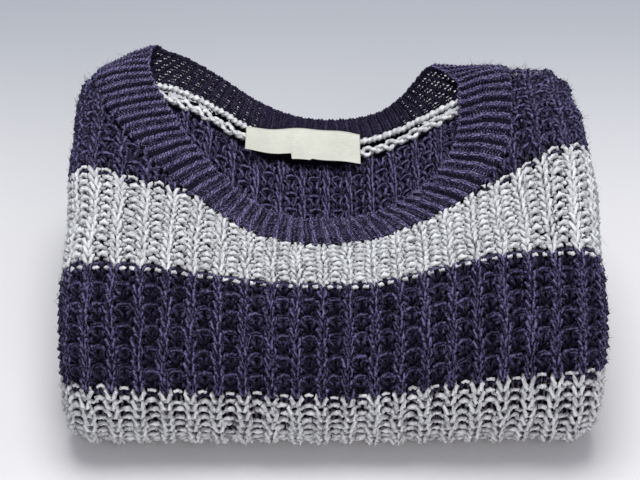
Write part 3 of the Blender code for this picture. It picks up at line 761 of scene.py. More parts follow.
# %% Line the front
PAST_SEAM = -0.004         # the lining goes this far under the neckband
across_grid, row_grid = np.meshgrid(np.linspace(-0.195, 0.195, 64), np.linspace(-9.4, 84, 90))
front_lining = lining_on("front_lining", front_point, across_grid, row_grid, outs=(-0.0064, -0.0070),
                         keep=from_seam(cell_middles(across_grid), cell_middles(row_grid)) > PAST_SEAM)
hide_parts("front_panel")

# %% [markdown]
# ## The neckband
# The band is a strip of fine rib, picked up round the neck and knitted on with thinner yarn. It is one closed ring:
# its front half lies on the front of the pile, and its back half stands up behind the opening and shows its inside.
# The ring is a table of sections, each a straight line from seam to free edge, joined by a smooth cubic. The ribs are
# then knitted on that table. Towards the ends of the back half the rib is stretched, so its loops are more open there
# and light comes through between them; there the lining has small holes too.

# %% The neckband's surface
BAND_ROWS = 17


def neckband_middle(share):
    """The middle of the band's wall: sections round the neck by points from seam to free edge."""
    seam_x, seam_y = neck_curve(NECK_SEAM, FRONT_BAND_ANGLES)
    edge_x, edge_y = neck_curve(NECK_EDGE, FRONT_BAND_ANGLES)
    x = seam_x[:, None] + (edge_x - seam_x)[:, None] * share
    y = seam_y[:, None] + (edge_y - seam_y)[:, None] * share
    z = top_height(y) - side_depth(x) - WALL / 2 - BAND_DIP * share ** 2
    front = np.stack([x, y, z], axis=-1)
    sections = np.array(BACK_BAND)
    seam, edge = sections[:, :3].copy(), sections[:, 3:6]
    seam[:, 2] += back_top(seam[:, 1]) - WALL / 2
    back = seam[:, None, :] + (edge - seam)[:, None, :] * share[None, :, None]
    return np.concatenate([front, back])


def closed_spline(items, steps):
    """Catmull-Rom: a cubic through neighbouring sections, with steps spans between them, closed on itself."""
    before, after, beyond = np.roll(items, 1, axis=0), np.roll(items, -1, axis=0), np.roll(items, -2, axis=0)
    run = []
    for t in np.arange(steps) / steps:
        run.append(0.5 * (2 * items + (after - before) * t + (2 * before - 5 * items + 4 * after - beyond) * t ** 2
                          + (3 * items - before - 3 * after + beyond) * t ** 3))
    return np.stack(run, axis=1).reshape(-1, *items.shape[1:])


print("the band has", BAND_ROWS, "rows and", FRONT_SECTIONS + len(BACK_BAND), "sections")

# %% The ring and the way it faces
BAND_SHARES = np.linspace(-0.08, 1.08, 47)
BAND_STEPS = 12
band_grid = settle(closed_spline(neckband_middle(BAND_SHARES), BAND_STEPS)) + SHIFT
facing = np.concatenate([np.full(FRONT_SECTIONS, 90.0), [section.facing for section in BACK_BAND]])
facing = np.radians(closed_spline(facing, BAND_STEPS))
facing = np.stack([np.zeros(len(facing)), np.cos(facing), np.sin(facing)], axis=-1)[:, None]
round_step = np.roll(band_grid, -1, axis=0) - np.roll(band_grid, 1, axis=0)
band_normal = unit(np.cross(round_step, np.gradient(band_grid, axis=1)))
band_normal *= np.sign((band_normal * facing).sum(axis=-1, keepdims=True))
steps_round = np.linalg.norm(round_step[:, len(BAND_SHARES) // 2], axis=-1) / 2
band_length = np.concatenate([[0.0], np.cumsum(steps_round)])
print("the neckband is", round(band_length[-1] * 1000), "mm round its middle")


def band_point(along, share, out=0.0):
    """Bilinear on the table of sections, along the ring and across the band, moved out along the normal."""
    at = np.interp(along % band_length[-1], band_length, np.arange(len(band_length)))
    across = (share - BAND_SHARES[0]) / (BAND_SHARES[1] - BAND_SHARES[0])
    i, j = np.floor(at).astype(int), np.clip(np.floor(across).astype(int), 0, len(BAND_SHARES) - 2)
    di, dj = (at - i)[..., None], (across - j)[..., None]
    count = len(band_grid)
    i, i1 = i % count, (i + 1) % count
    place = ((band_grid[i, j] * (1 - dj) + band_grid[i, j + 1] * dj) * (1 - di)
             + (band_grid[i1, j] * (1 - dj) + band_grid[i1, j + 1] * dj) * di)
    normal = unit((band_normal[i, j] * (1 - dj) + band_normal[i, j + 1] * dj) * (1 - di)
                  + (band_normal[i1, j] * (1 - dj) + band_normal[i1, j + 1] * dj) * di)
    return place + normal * np.asarray(out)[..., None]


RIBS = round(band_length[-1] / 0.0074)
RIB = band_length[-1] / RIBS
RIDGE_SHARE = 0.17         # where a rib's ridge lies, in shares of the rib
print(RIBS, "ribs, each", round(RIB * 1000, 2), "mm wide")


# %% The band's ribs
BAND_RELIEF, BAND_RISE = 0.0009, 0.00085
LOOSE = (0.040, 0.052)     # from here outwards, in metres from the middle, the back half is stretched


def band_yarns(name, first_rib, last_rib, steps=8, sides=4):
    """Rows round the band: out of it is rise and relief, a cosine with one rib to its length, and at the sides
    every other furrow is deeper. In the stretched part the loops are taller and the yarn thinner."""
    ribs = last_rib - first_rib
    at_front = first_rib == 0
    widths = np.tile([RIB * 0.34, RIB * 0.66], ribs)
    leans = np.tile([RIB * 0.06, RIB * 0.13], ribs)
    rows = np.arange(BAND_ROWS)
    kinds = np.tile([1.0, -1.0], (BAND_ROWS, ribs))
    rng = np.random.default_rng(first_rib + 77)
    along, offset, rise = yarn_waves(widths, leans, kinds, kinds, steps, rng, 0.5)
    along = along + first_rib * RIB
    share = (rows[:, None] + 0.5 - 0.85 * offset) / BAND_ROWS
    loose = smoothstep(np.abs(band_point(along, share)[..., 0] + 0.001), *LOOSE) * (not at_front)
    share = share - 0.13 * loose * offset / BAND_ROWS
    relief = np.cos(2 * np.pi * (along / RIB - RIDGE_SHARE))
    at_side = smoothstep(np.abs(band_point(along, share)[..., 0] + 0.01), 0.045, 0.095)
    pair = (0.5 - 0.5 * np.cos(np.pi * (along / RIB - RIDGE_SHARE) - np.pi / 2)) * at_side
    along = along + 0.0009 * wander(along, share * 20, 9)
    out = (rise * BAND_RISE + relief * (BAND_RELIEF + 0.0001 * at_side) - 0.0006 * pair * (relief < 0)
           + 0.0004 * wander(along, share * 20, 10))
    centre, outward = laid_on(band_point, along, share, out=out)
    FUZZY[name] = (centre, outward, out > 0.0004, 0.0007)
    thickness = (0.00074 if at_front else 0.00064 - 0.00016 * loose) + 0.00026 * smoothstep(relief, 0.1, 0.9)
    # Painted shade: the colour darkens the lower a yarn lies, and more in the paired furrows at the sides.
    deep = np.clip(smoothstep(-out, -0.0004, 0.0014) + 0.35 * pair * (relief < 0.2), 0, 1)
    return yarn_tubes(name, centre, outward, thickness, BAND, sides, ply=0.0, turn=0.007, deep=deep)


# %% Knit the band
def band_edge():
    """The cast-off edge: one cord round the free edge, which dips between the ribs."""
    along = np.linspace(0, band_length[-1], RIBS * 6 + 1)[None]
    ridge = np.cos(2 * np.pi * (along / RIB - RIDGE_SHARE))
    centre, outward = laid_on(band_point, along, 1.0 + 0.014 * ridge, out=0.0005 * ridge + 0.0002)
    yarn_tubes("neckband_edge", centre, outward, 0.00105, BAND, ply=0.2, turn=0.009)


band_edge()
FRONT_LENGTH = np.interp(FRONT_SECTIONS * BAND_STEPS, np.arange(len(band_length)), band_length)
split = round(FRONT_LENGTH / RIB)
band_yarns("neckband_front_yarns", 0, split)
band_yarns("neckband_back_yarns", split, RIBS)

# %% Line the band, with holes where it is stretched
BAND_LINING = 0.00012
HOLES_FROM, HOLES_TO_LEFT, HOLES_TO_RIGHT = 0.043, -0.116, 0.108
lining_along = np.concatenate([np.arange(split), split + np.arange(4 * (RIBS - split) + 1) / 4]) * RIB
along_grid, share_grid = np.meshgrid(lining_along, np.linspace(0.0, 1.0, 25), indexing="ij")
cell_x = band_point(cell_middles(along_grid), cell_middles(share_grid))[..., 0]
cell, cell_row = np.indices(cell_x.shape)
covered = (cell < split) | (np.abs(cell_x + 0.001) < HOLES_FROM) | (cell_x < HOLES_TO_LEFT) | (cell_x > HOLES_TO_RIGHT)
covered |= ((cell - split) % 4 == 0) | (cell_row % 2 == 0) | (cell_row > 22)
band_lining = lining_on("neckband_lining", band_point, along_grid, share_grid, outs=(BAND_LINING, -BAND_LINING),
                        keep=covered)
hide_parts("neckband")
print(int((~covered).sum()), "holes in the band's lining")

# %% [markdown]
# ## The back panel's inside
# Through the neck one looks at the wrong side of the back: the same waffle, deeper in shade, and below the band two
# pale rows where the band was linked on. The upper of the two is a thick cord. The lower one is a chain, which on the
# machine is one yarn caught by the next; two waves that mirror each other give its long and its round links. Both
# lie on the seam, which is read back from the band's own table, so they follow it wherever it goes.

# %% The back panel's inside
def settled_seam():
    """X and y of the line where the band is sewn to the back, before the pile settles."""
    line = closed_spline(neckband_middle(np.array([0.0])), BAND_STEPS)[:, 0]
    return line[FRONT_SECTIONS * BAND_STEPS:1 - BAND_STEPS]


BACK_REPEATS, BACK_KNIT_WIDTH = 19, 0.0054
BACK_ROWS = np.arange(-6, 19)
BACK_FIRST_Y, BACK_ROW_SHIFT = 0.058, 0.2
BELOW_SEAM = 0.0150        # the yarns start this far below the seam, where the pale rows end


def back_yarns(name, finish):
    """Rows from the seam to the front: out of the cloth is rise times DEPTH, a little relief and, in the wide
    columns, a wave with two rows to its length. What lies beyond the seam or far beneath the front is left out."""
    widths = np.tile([BACK_KNIT_WIDTH, REPEAT - BACK_KNIT_WIDTH], BACK_REPEATS)
    leans = np.tile([0.0011, 0.0026], BACK_REPEATS)
    kinds = rib_kinds(np.where(BACK_ROWS % 2 == 0, 1.0, -1.0), len(widths))
    across, offset, rise = yarn_waves(widths, leans, kinds, np.roll(kinds, 1, axis=0), 12, np.random.default_rng(31),
                                      1.0)
    x = across - widths.sum() / 2
    row = BACK_ROWS[:, None] + BACK_ROW_SHIFT + LOOP * offset
    y = BACK_FIRST_Y - row * ROW
    relief = np.cos(2 * np.pi * (x + widths.sum() / 2 - BACK_KNIT_WIDTH / 2) / REPEAT)
    wide = smoothstep(-relief, -0.35, 0.7)
    out = rise * DEPTH + relief * 0.0003 - 0.0028 + wide * 0.0008 * (np.cos(np.pi * (row - 0.6)) - 0.4)
    seam = settled_seam()
    front_x, front_y = neck_curve(NECK_EDGE, np.linspace(0, 180, 181))
    front = np.interp(x, front_x[::-1], front_y[::-1], left=0.04, right=0.04)
    keep = (np.abs(x) < 0.145) & (y < np.interp(x, seam[:, 0], seam[:, 1]) - BELOW_SEAM) & (y > front - 0.012)
    # Painted shade: every yarn's colour is darkened a little, and more the lower it lies in the hollows.
    return yarn_tubes(name, *laid_on(back_point, x, y, out=out), RADIUS + 0.0002 * wide, finish, keep=keep,
                      deep=0.10 + 0.90 * smoothstep(-out, 0.0020, 0.0050))


print("the back has", len(BACK_ROWS), "rows and", BACK_REPEATS, "repeats")


# %% Along the seam
def seam_point(along, below, out):
    """Along the band's seam on the back, below it on the cloth and out of the cloth, all in metres."""
    seam = settled_seam()
    run = np.concatenate([[0.0], np.cumsum(np.hypot(*np.diff(seam[:, :2], axis=0).T))])
    x, y = (np.interp(along, run, seam[:, i]) for i in (0, 1))
    slope_x, slope_y = (np.interp(along, run, np.gradient(seam[:, i], run)) for i in (0, 1))
    return back_point(x + slope_y * below, y - slope_x * below, out)


print("the seam on the back starts at", seam_point(0.0, 0.0, 0.0).round(3))

# %% The cord and the chain
LINK_PAIRS, LINK_PAIR_LENGTH, LINK_PAIR_STEPS = 20, 0.01545, 24
CORD_BELOW, CORD_RADIUS = 0.0028, 0.00165
CHAIN_BELOW, CHAIN_RADIUS = 0.0110, 0.00150
LONG_LINK, ROUND_LINK_MORE, LINK_DEPTH = 0.0012, 0.0017, 0.0009
LABEL_AT, LABEL_REACH, LABEL_PULL = -0.018, 0.034, 0.0038
PALE_END = -0.122          # beyond this, at the left shoulder, the band lies over both rows


def seam_rows():
    """The two pale rows below the band: a thick cord, and a chain of one long and one round link by turns, made
    of two waves that mirror each other. Behind the label the chain is pulled up and flattened."""
    f = np.linspace(0, LINK_PAIRS, LINK_PAIRS * LINK_PAIR_STEPS + 1)[None]
    rng = np.random.default_rng(12)
    bend = np.interp(f, np.arange(LINK_PAIRS * 2 + 1) / 2, rng.normal(size=LINK_PAIRS * 2 + 1))
    along = 0.001 + f * LINK_PAIR_LENGTH
    lump = np.abs(np.sin(2 * np.pi * f))
    cord = seam_point(along, CORD_BELOW + 0.0005 * bend, 0.0010 + 0.0004 * lump)
    cord_out = unit(seam_point(along, 0.0036, 0.002) - seam_point(along, 0.0036, 0.001))
    yarn_tubes("back_seam_cord", cord, cord_out, CORD_RADIUS + 0.0004 * lump, GREY, 6, ply=0.3, turn=0.011,
               keep=cord[..., 0] > PALE_END)
    round_link = smoothstep(np.cos(2 * np.pi * (f - 0.25)), -0.5, 0.5)
    reach = (LONG_LINK + ROUND_LINK_MORE * round_link) * np.sin(2 * np.pi * f)
    under_label = np.exp(-((seam_point(along, 0.010, 0.0)[..., 0] - LABEL_AT) / LABEL_REACH) ** 4)
    sides = []
    for sign in (-1, 1):
        below = CHAIN_BELOW - LABEL_PULL * under_label + sign * reach * (1 - 0.5 * under_label) + 0.0004 * bend
        sides.append(laid_on(seam_point, along, below, out=0.0002 + sign * LINK_DEPTH * np.cos(2 * np.pi * f)))
    chain, chain_out = (np.concatenate(both) for both in zip(*sides))
    yarn_tubes("back_seam_chain", chain, chain_out, CHAIN_RADIUS, GREY, 6, ply=0.25, keep=chain[..., 0] > PALE_END)
    print(LINK_PAIRS, "pairs of links along the seam")


seam_rows()

# %% Knit and line the back
back_yarns("back_yarns", NAVY)
back_x, back_y = np.meshgrid(np.linspace(-0.1465, 0.1465, 60), np.linspace(-0.055, 0.098, 40))
seam = settled_seam()
below_seam = cell_middles(back_y) < np.interp(cell_middles(back_x), seam[:, 0], seam[:, 1]) - 0.001
back_lining = lining_on("back_lining", back_point, back_x, back_y, outs=(-0.0054, -0.0060), keep=below_seam)
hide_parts("back_panel")
print(int(below_seam.sum()), "of", below_seam.size, "cells of the back are lined")

# %% [markdown]
# ## Beneath the pile
# The front goes on round the front roll, along the table and up the rear fold. It is hardly seen there, so its
# yarns have fewer steps, half the sides and no plies, which leaves the triangles to the top. It could stop at the
# roll, but a pile that is turned or lifted would then be hollow.

# %% The underside and the rear fold of the front
rows = np.arange(47, 83)   # from the front roll to the top of the rear fold
under_across, under_offset, under_rise = yarn_waves(WIDTHS, LEANS, kinds_of(rows), kinds_of(rows - 1), 6,
                                                    np.random.default_rng(8), 1.0)
under_across = under_across + ACROSS_START
under_row = rows[:, None] + LOOP * under_offset
under_out = under_rise * DEPTH * 0.8 + column_relief(under_across) * 0.0005 - LAYER - 0.0004
yarn_tubes("front_yarns_5", *laid_on(front_point, under_across, under_row, out=under_out), RADIUS, STRIPED, 3,
           ply=0.0, pale=np.repeat(stripe_is_grey(rows)[:, None], under_row.shape[1], axis=1))
print(len(rows), "rows beneath")

# %% [markdown]
# ## Sleeves
# A sleeve is a tube, laid flat behind the body before it is folded, so it shows as one layer at the side. Here it
# is a flat roll: a superellipse across, closed at both ends, with the striped knitting going round it. It lies
# just below the back panel and follows that panel's path, so the two can't run into each other.

# %% A sleeve's surface
SLEEVE_MIDDLE, SLEEVE_HALF_WIDTH, SLEEVE_HALF_HEIGHT = 0.1145, 0.0450, 0.011
REAR_DROP = 0.013
SLEEVE_ENDS = (-3.9, 21.0)
SLEEVE_STITCHES = 26


def under_back(y):
    return 2 * (WALL + BETWEEN) + BACK_DROP * smoothstep(y, -0.05, 0.02) + REAR_DROP * smoothstep(y, 0.035, 0.075)


def sleeve_point(side, angle, row, out=0.0):
    """A flat roll along the pile: a superellipse of power 0.75 whose size falls to nothing at both ends, as a half
    circle does, at row positions along the cloth's path and below the back panel."""
    start, end = SLEEVE_ENDS
    near_end = np.clip(np.minimum(row - start, end - row) / 1.8, 0.0, 1.0)
    swell = np.sqrt(np.maximum(1 - (1 - near_end) ** 2, 0.0004))
    flat = np.sign(np.cos(angle)) * np.abs(np.cos(angle)) ** 0.75
    tall = np.sign(np.sin(angle)) * np.abs(np.sin(angle)) ** 0.75
    x = side * SLEEVE_MIDDLE + (SLEEVE_HALF_WIDTH * (0.9 + 0.1 * swell) * np.minimum(1, swell * 1.5) + out) * flat
    y, _ = path_point(row)
    depth = under_back(y) + SLEEVE_HALF_HEIGHT - (SLEEVE_HALF_HEIGHT * swell + out) * tall
    y, z = path_point(row, depth)
    return settle(np.stack(np.broadcast_arrays(x, y, z), axis=-1)) + SHIFT


print("a sleeve is", round(2000 * SLEEVE_HALF_WIDTH), "mm wide and", round(2000 * SLEEVE_HALF_HEIGHT), "mm high")


# %% Knit and line the sleeves
def sleeve(name, side, first_grey):
    """Yarns round the roll, striped from first_grey on, and a lining inside them that stands for the CAD node."""
    rows = np.arange(-3, 21)
    widths = np.tile([0.4, 0.6], SLEEVE_STITCHES // 2) * 2 * np.pi / (SLEEVE_STITCHES // 2)
    grey = (rows + first_grey) % (2 * STRIPE) < STRIPE
    kinds = rib_kinds(np.where(grey | (rows % 2 == 0), -1.0, 1.0), SLEEVE_STITCHES)
    across, offset, rise = yarn_waves(widths, widths * 0.2, kinds, np.roll(kinds, 1, axis=0), 7,
                                      np.random.default_rng(first_grey), 0.5)
    row = rows[:, None] + LOOP * offset
    yarn_tubes(f"{name}_yarns", *laid_on(sleeve_point, side, across, row, out=rise * 0.0010 - 0.0022), 0.0013, STRIPED,
               4, ply=0.0, keep=(row > SLEEVE_ENDS[0]) & (row < SLEEVE_ENDS[1]),
               pale=np.repeat(grey[:, None], row.shape[1], axis=1))
    angle, along = np.meshgrid(np.linspace(0, 2 * np.pi, 33), np.linspace(*SLEEVE_ENDS, 40))
    lining = lining_on(f"{name}_lining", sleeve_point, side, angle, along, outs=(-0.0030, -0.0040))
    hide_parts(name)
    print(name, "has", int(grey.sum()), "grey rows of", len(rows))


sleeve("sleeve_left", -1, 17)
sleeve("sleeve_right", 1, 16)

# %% [markdown]
# ## The hidden layers
# The lower thirds of the body are folded inside the pile, and only their edges show: four rounded edges above each
# other, which run round both sides and the rear. One outline carries them all, straight with quarter circles at the
# corners, and each layer bulges out of it as half an ellipse between two grooves. To model every hidden layer in
# full would cost much and show nothing.

# %% The layers' outline
CORE_SIDE, CORE_REAR, CORE_CORNER = 0.1590, 0.1040, 0.016
LAYER_EDGES = (0.020, 0.044, 0.066, 0.088, 0.112)
LAYER_BULGE = 0.0055
SIDE_RUN = CORE_REAR - CORE_CORNER + 0.098
REAR_STRAIGHT, QUARTER = 2 * (CORE_SIDE - CORE_CORNER), np.pi / 2 * CORE_CORNER
REAR_RUN = REAR_STRAIGHT + np.pi * CORE_CORNER
ALL_RUN = 2 * SIDE_RUN + REAR_RUN


def layer_height(z):
    """How far the layers' edge stands out at a height: a half ellipse between two neighbouring grooves."""
    edges = np.array(LAYER_EDGES)
    number = np.clip(np.searchsorted(edges, z) - 1, 0, len(edges) - 2)
    share = np.clip((z - edges[number]) / (edges[number + 1] - edges[number]), 0, 1)
    return LAYER_BULGE * (np.sqrt(np.maximum(1 - (2 * share - 1) ** 2, 0)) - 1)


def layers_point(along, z, out=0.0):
    """Along runs from the left side's front end round the rear to the right side's: straight, a quarter circle,
    straight, a quarter circle and straight."""
    half = SIDE_RUN + QUARTER + REAR_STRAIGHT / 2
    at = np.abs(along - half)
    corner = np.clip((at - REAR_STRAIGHT / 2) / CORE_CORNER, 0, np.pi / 2)
    beyond = np.maximum(at - REAR_STRAIGHT / 2 - QUARTER, 0)
    reach = out + layer_height(z)
    x = np.minimum(at, REAR_STRAIGHT / 2) + (CORE_CORNER + reach) * np.sin(corner)
    y = CORE_REAR - CORE_CORNER + (CORE_CORNER + reach) * np.cos(corner) - beyond
    x = x * np.sign(along - half)
    top = 0.014 * smoothstep(z, 0.085, 0.112)
    return settle(np.stack(np.broadcast_arrays(x, y - top, z), axis=-1)) + SHIFT


print(len(LAYER_EDGES) - 1, "layers show between z =", LAYER_EDGES[0], "and", LAYER_EDGES[-1], "m")

# %% From a way down the edges to a height
LAYER_Z = np.linspace(LAYER_EDGES[0], LAYER_EDGES[-1], 400)
LAYER_ARC = np.concatenate([[0], np.cumsum(np.hypot(np.diff(LAYER_Z), np.diff(layer_height(LAYER_Z))))])


def layer_z(arc):
    return np.interp(arc, LAYER_ARC, LAYER_Z)


def under_cover(along, z):
    """True where the layers' edge lies below the front's cloth, so that nothing stands out of the front roll."""
    half = ALL_RUN / 2
    beyond = np.maximum(np.abs(along - half) - REAR_RUN / 2, 0)
    y = CORE_REAR - CORE_CORNER - beyond
    return z < np.where(beyond > 0, top_height(y) - 0.016, 1.0)


print(f"{ALL_RUN * 1000:.0f} mm round the layers, {LAYER_ARC[-1] * 1000:.0f} mm down their edges")


# %% Knit the layers' edges
def layers_yarns(name, courses, run, grey, seed, place, keep):
    """Rows of knitting on the layers' edges: repeats fill the run across, courses follow each other down, and place
    turns across and down, both in metres, into a length along the edges and a height."""
    rows = np.arange(courses)
    repeats = int(run / REPEAT)
    widths = np.tile([KNIT_WIDTH, REPEAT - KNIT_WIDTH], repeats) * run / (repeats * REPEAT)
    kinds = rib_kinds(np.where(grey | (rows % 2 == 0), -1.0, 1.0), 2 * repeats)
    across, offset, rise = yarn_waves(widths, np.tile([0.0010, 0.0021], repeats), kinds, np.roll(kinds, -1, axis=0), 8,
                                      np.random.default_rng(seed), 1.0)
    down = (rows[:, None] + 0.5 - LOOP * offset) * ROW
    along, z = place(across, down)
    yarn_tubes(name, *laid_on(layers_point, along, z, out=rise * 0.0013 - 0.0025), 0.0014, STRIPED, 5, ply=0.0,
               keep=keep(along, z, down), pale=np.repeat(grey[:, None], down.shape[1], axis=1))


rear_courses, side_courses = int(LAYER_ARC[-1] / ROW), int(SIDE_RUN / ROW)
rear_rows = np.arange(rear_courses)
layers_yarns("rear_layers_yarns", rear_courses, REAR_RUN, (rear_rows >= 4) & (rear_rows < 8), 61,
             lambda across, down: (SIDE_RUN + across, layer_z(down)),
             lambda along, z, down: (down > 0) & (down < LAYER_ARC[-1]))
for name, start, phase in (("left_layers_yarns", 0.0, 7), ("right_layers_yarns", SIDE_RUN + REAR_RUN, 17)):
    layers_yarns(name, side_courses, LAYER_ARC[-1], (np.arange(side_courses) + phase) % (2 * STRIPE) < STRIPE, phase,
                 lambda across, down: (start + down, layer_z(across)), lambda along, z, down: under_cover(along, z))

# %% Line the layers
layer_along, layer_up = np.meshgrid(np.linspace(0, ALL_RUN, 80), np.linspace(LAYER_EDGES[0], LAYER_EDGES[-1], 33))
covered = under_cover(cell_middles(layer_along), layer_up[1:, 1:])
layers_lining = lining_on("layers_lining", layers_point, layer_along, layer_up, outs=(-0.0036, -0.0046), keep=covered)
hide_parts("folded_layers")
print(int(covered.sum()), "of", covered.size, "cells of the layers are lined")

# %% [markdown]
# ## The label
# A woven label is a strip of satin, sewn on along its top only, so its lower edge lifts off the knitting. Its left
# part is cut shorter, and the small size tab hangs down beside that step. It is one thin closed sheet that follows
# the back panel, arched a little in the middle. Its finish is the satin's long floats. The label is blank.

# %% Satin
LABEL_LEFT, LABEL_RIGHT, LABEL_TOP, LABEL_BOTTOM = -0.0590, 0.0190, 0.0600, 0.0340
LABEL_STEP, LABEL_SHORT, LABEL_LIFT = -0.0280, 0.0045, 0.0040


def satin_finish():
    """Long floats across, each a little lighter or darker than the next, and a fine warp between them."""
    finish = Finish("cream_satin", Roughness=0.55, Sheen_Weight=0.1, Sheen_Roughness=0.5)
    place = finish.node("ShaderNodeTexCoord", output=3)
    floats = finish.node("ShaderNodeTexNoise", Vector=finish.node("ShaderNodeMapping", Vector=place,
                                                                  Scale=(160.0, 1800.0, 1800.0)), Scale=1.0, Detail=1.0)
    patches = finish.node("ShaderNodeTexNoise", Vector=place, Scale=70.0, Detail=2.0)
    warp = finish.node("ShaderNodeTexWave", {"bands_direction": "X"}, Vector=place, Scale=500.0)
    mask = (floats - 0.5) * 0.9 + (patches - 0.5) * 0.7 + 0.5
    finish.feed("Base Color", finish.mix(mask, (0.63, 0.63, 0.545, 1), (0.42, 0.42, 0.36, 1)))
    finish.feed("Normal", finish.node("ShaderNodeBump", Height=floats + warp * 0.4, Strength=0.4, Distance=0.0003))
    return finish.material


SATIN = satin_finish()
print("the label is", SATIN.name)

# %% Sew on the label
LABEL_THICK, LABEL_ARCH, TAB_WIDE = 0.0004, 0.0030, 0.013
label_x = np.concatenate([np.linspace(LABEL_LEFT, LABEL_STEP - 0.0006, 24), np.linspace(LABEL_STEP, LABEL_RIGHT, 36)])
past_tab = label_x - LABEL_STEP - TAB_WIDE
lower = LABEL_BOTTOM + np.where(label_x < LABEL_STEP, LABEL_SHORT,
                                np.where(label_x < LABEL_STEP + TAB_WIDE, 0.0, 0.0012 - 0.06 * past_tab))
share = np.linspace(0, 1, 20)[:, None]
label_y = LABEL_TOP + (lower - LABEL_TOP) * share
arch = np.sin(np.pi * np.clip((label_x + 0.060) / 0.088, 0, 1))
lift = 0.0034 + LABEL_ARCH * arch * (1 - share) ** 2 + LABEL_LIFT * share ** 1.5 + 0.0006 * np.sin(label_x * 190)
label_y = label_y + 0.0062 * arch
label_x = np.broadcast_to(label_x, label_y.shape)
label = closed_sheet("neck_label_cloth", back_point(label_x, label_y, lift + LABEL_THICK),
                     back_point(label_x, label_y, lift), SATIN)
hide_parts("neck_label")
print(f"the label is {(LABEL_RIGHT - LABEL_LEFT) * 1000:.0f} mm wide")

# %% [markdown]
# ## Loose fibres
# Cotton sheds a haze of fine fibres, which catch the light along the edges of the yarns. Hair particles would be one
# way to make them. Here each is a tapered tube of three sides and two steps, rooted at a random point of a yarn, so
# that it is mesh like everything else and goes where the mesh goes.

# %% Hairs
HAIR_LOWEST, HAIR_RADIUS = 0.0003, 0.00012


def fuzz(name, source, count, finish, length=0.0034, seed=1):
    """Thin tapered hairs from random points of the yarns: each runs outward with a share of the square of the way
    along it, and bends sideways in a direction of its own."""
    centre, outward, keep, radius = source
    rng = np.random.default_rng(seed)
    row, column = np.nonzero(keep)
    pick = rng.integers(0, len(row), count)
    base, out = centre[row[pick], column[pick]], outward[row[pick], column[pick]]
    lateral = unit(np.cross(out, rng.normal(size=(count, 3))))
    lengths = length * rng.uniform(0.4, 1.4, count)[:, None]
    lift = rng.uniform(0.15, 0.75, count)[:, None]
    bend = rng.normal(size=(count, 1))
    steps = np.linspace(0, 1, 3)[:, None, None]
    start = base + (out * 0.8 + lateral * 0.5) * radius
    curl = unit(np.cross(out, lateral))
    path = start + lengths * (steps * lateral + lift * steps ** 1.5 * out + 0.5 * (steps ** 2) * curl * bend)
    path = path.transpose(1, 0, 2)
    path[..., 2] = np.maximum(path[..., 2], HAIR_LOWEST)
    across = unit(np.broadcast_to(out[:, None], path.shape) + 0.01)
    taper = HAIR_RADIUS * np.array([1.0, 0.8, 0.4])
    return yarn_tubes(name, path, across, taper, finish, 3, ply=0.0)


# %% Add the hairs
FIBRES = {"front_yarns_1": (1400, NAVY), "front_yarns_2": (800, GREY), "front_yarns_3": (1600, NAVY),
          "front_yarns_4": (800, GREY), "neckband_front_yarns": (1300, NAVY), "neckband_back_yarns": (1200, NAVY)}
for number, (key, (count, finish)) in enumerate(FIBRES.items()):
    fuzz(f"{key}_fuzz", FUZZY[key], count, finish, seed=number)
print(sum(count for count, _ in FIBRES.values()), "loose fibres")

# %% [markdown]
# ## What each piece of cloth was cut from
# The linings carry the cut: each one states the flat size of what shows of its panel. The tubes, such as a
# sleeve, state their whole way round.


def declare(lining, flat):
    """State the flat size, rounded to a millimetre."""
    flat = tuple(round(float(side), 3) for side in flat)
    print(lining.name, "is cut from", flat, "m")


declare(front_lining, (0.390, 93.4 * ROW))
declare(band_lining, (band_length[-1], 0.034))
declare(back_lining, (0.293, 0.150))
for side in ("left", "right"):
    declare(bpy.data.objects[f"sleeve_{side}_lining"], (0.200, 24.9 * ROW))
declare(layers_lining, (ALL_RUN, LAYER_ARC[-1]))
declare(label, (0.078, 0.027))

# %% [markdown]
# ## Camera and light
# The camera looks down by 40 degrees through a long lens, from a metre away. A wide soft panel overhead draws the
# ribs and the shadow round the pile, a weaker one in front opens the shade of the front roll, and a pale blue room
# fills what they leave. The table's colour has painted shade, a little darker and bluer with the distance, and
# painted light, a little brighter in front of the pile.

# %% Camera
bpy.context.scene.view_settings.view_transform = "Standard"
CAMERA_RISE = np.radians(40)
CAMERA_FROM = np.array([-0.0080, 0.018, 0.05]) + SHIFT
CAMERA_AWAY, CAMERA_LENS = 1.085, 92.8
camera = bpy.data.objects.new("camera", bpy.data.cameras.new("camera"))
bpy.context.scene.collection.objects.link(camera)
camera.location = CAMERA_FROM + CAMERA_AWAY * np.array([0, -np.cos(CAMERA_RISE), np.sin(CAMERA_RISE)])
camera.rotation_euler = (np.pi / 2 - CAMERA_RISE, 0, 0)
camera.data.lens = CAMERA_LENS
bpy.context.scene.camera = camera
print("the camera is at", camera.location[:])


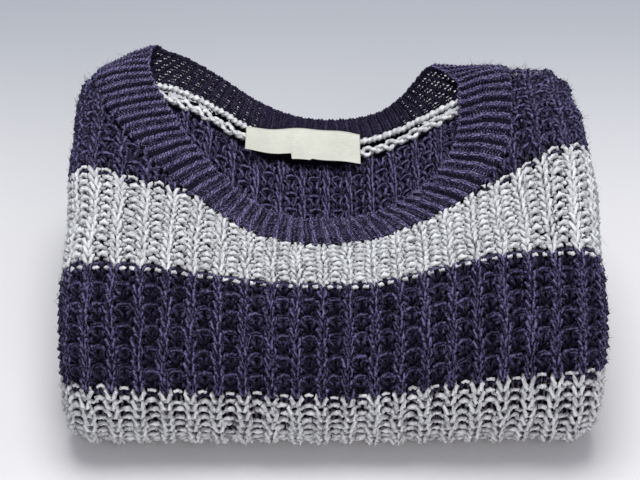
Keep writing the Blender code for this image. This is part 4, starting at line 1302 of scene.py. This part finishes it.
# %% Table
def smooth_range(finish, value, start, end):
    """0 at start and 1 at end, with a smooth step between them."""
    return finish.node("ShaderNodeMapRange", {"interpolation_type": "SMOOTHSTEP"}, Value=value, From_Min=start,
                       From_Max=end)


def floor_finish():
    """Pale, with painted shade that makes it a little darker and bluer with the distance behind the pile, and painted
    light that makes it a little brighter in front of it.
    """
    finish = Finish("pale_table", Roughness=0.7)
    place = finish.node("ShaderNodeTexCoord", output=3)
    away = finish.node("ShaderNodeSeparateXYZ", output=1, Vector=place)
    # Painted shade: the table's colour is darker and bluer with the distance; painted light: it is brighter in front of
    # the pile.
    far = smooth_range(finish, away, 0.02, 0.46)
    near = smooth_range(finish, away, -0.11, -0.31)
    front = finish.mix(near, (0.68, 0.67, 0.67, 1), (0.90, 0.90, 0.895, 1))
    finish.feed("Base Color", finish.mix(far, front, (0.37, 0.385, 0.42, 1)))
    return finish.material


table_mesh = bpy.data.meshes.new("table")
table_mesh.from_pydata([(-3, -2, 0), (3, -2, 0), (3, 3, 0), (-3, 3, 0)], [], [(0, 1, 2, 3)])
table_mesh.materials.append(floor_finish())
table = bpy.data.objects.new("table", table_mesh)
bpy.context.scene.collection.objects.link(table)
print("the table's top is at z = 0")


# %% Lights
def area_light(name, place, target, size, power, colour=(1, 1, 1)):
    light = bpy.data.lights.new(name, "AREA")
    light.shape, light.size, light.energy, light.color = "DISK", size, power, colour
    made = bpy.data.objects.new(name, light)
    bpy.context.scene.collection.objects.link(made)
    made.location = place
    made.rotation_euler = (Vector(target) - Vector(place)).to_track_quat("-Z", "Y").to_euler()
    print(f"{name}: {power} W, {size} m wide")


area_light("sky_panel", (-0.02, 0.16, 1.6), (0, 0, 0), 0.9, 23.5)
area_light("front_fill", (0.35, -1.5, 0.8), (0, 0, 0.05), 1.2, 12.5, (1.0, 0.955, 0.965))
world = bpy.data.worlds.new("room")
bpy.context.scene.world = world
world.use_nodes = True
room = world.node_tree.nodes["Background"].inputs
room["Color"].default_value = (0.80, 0.86, 1.0, 1)
room["Strength"].default_value = 0.38
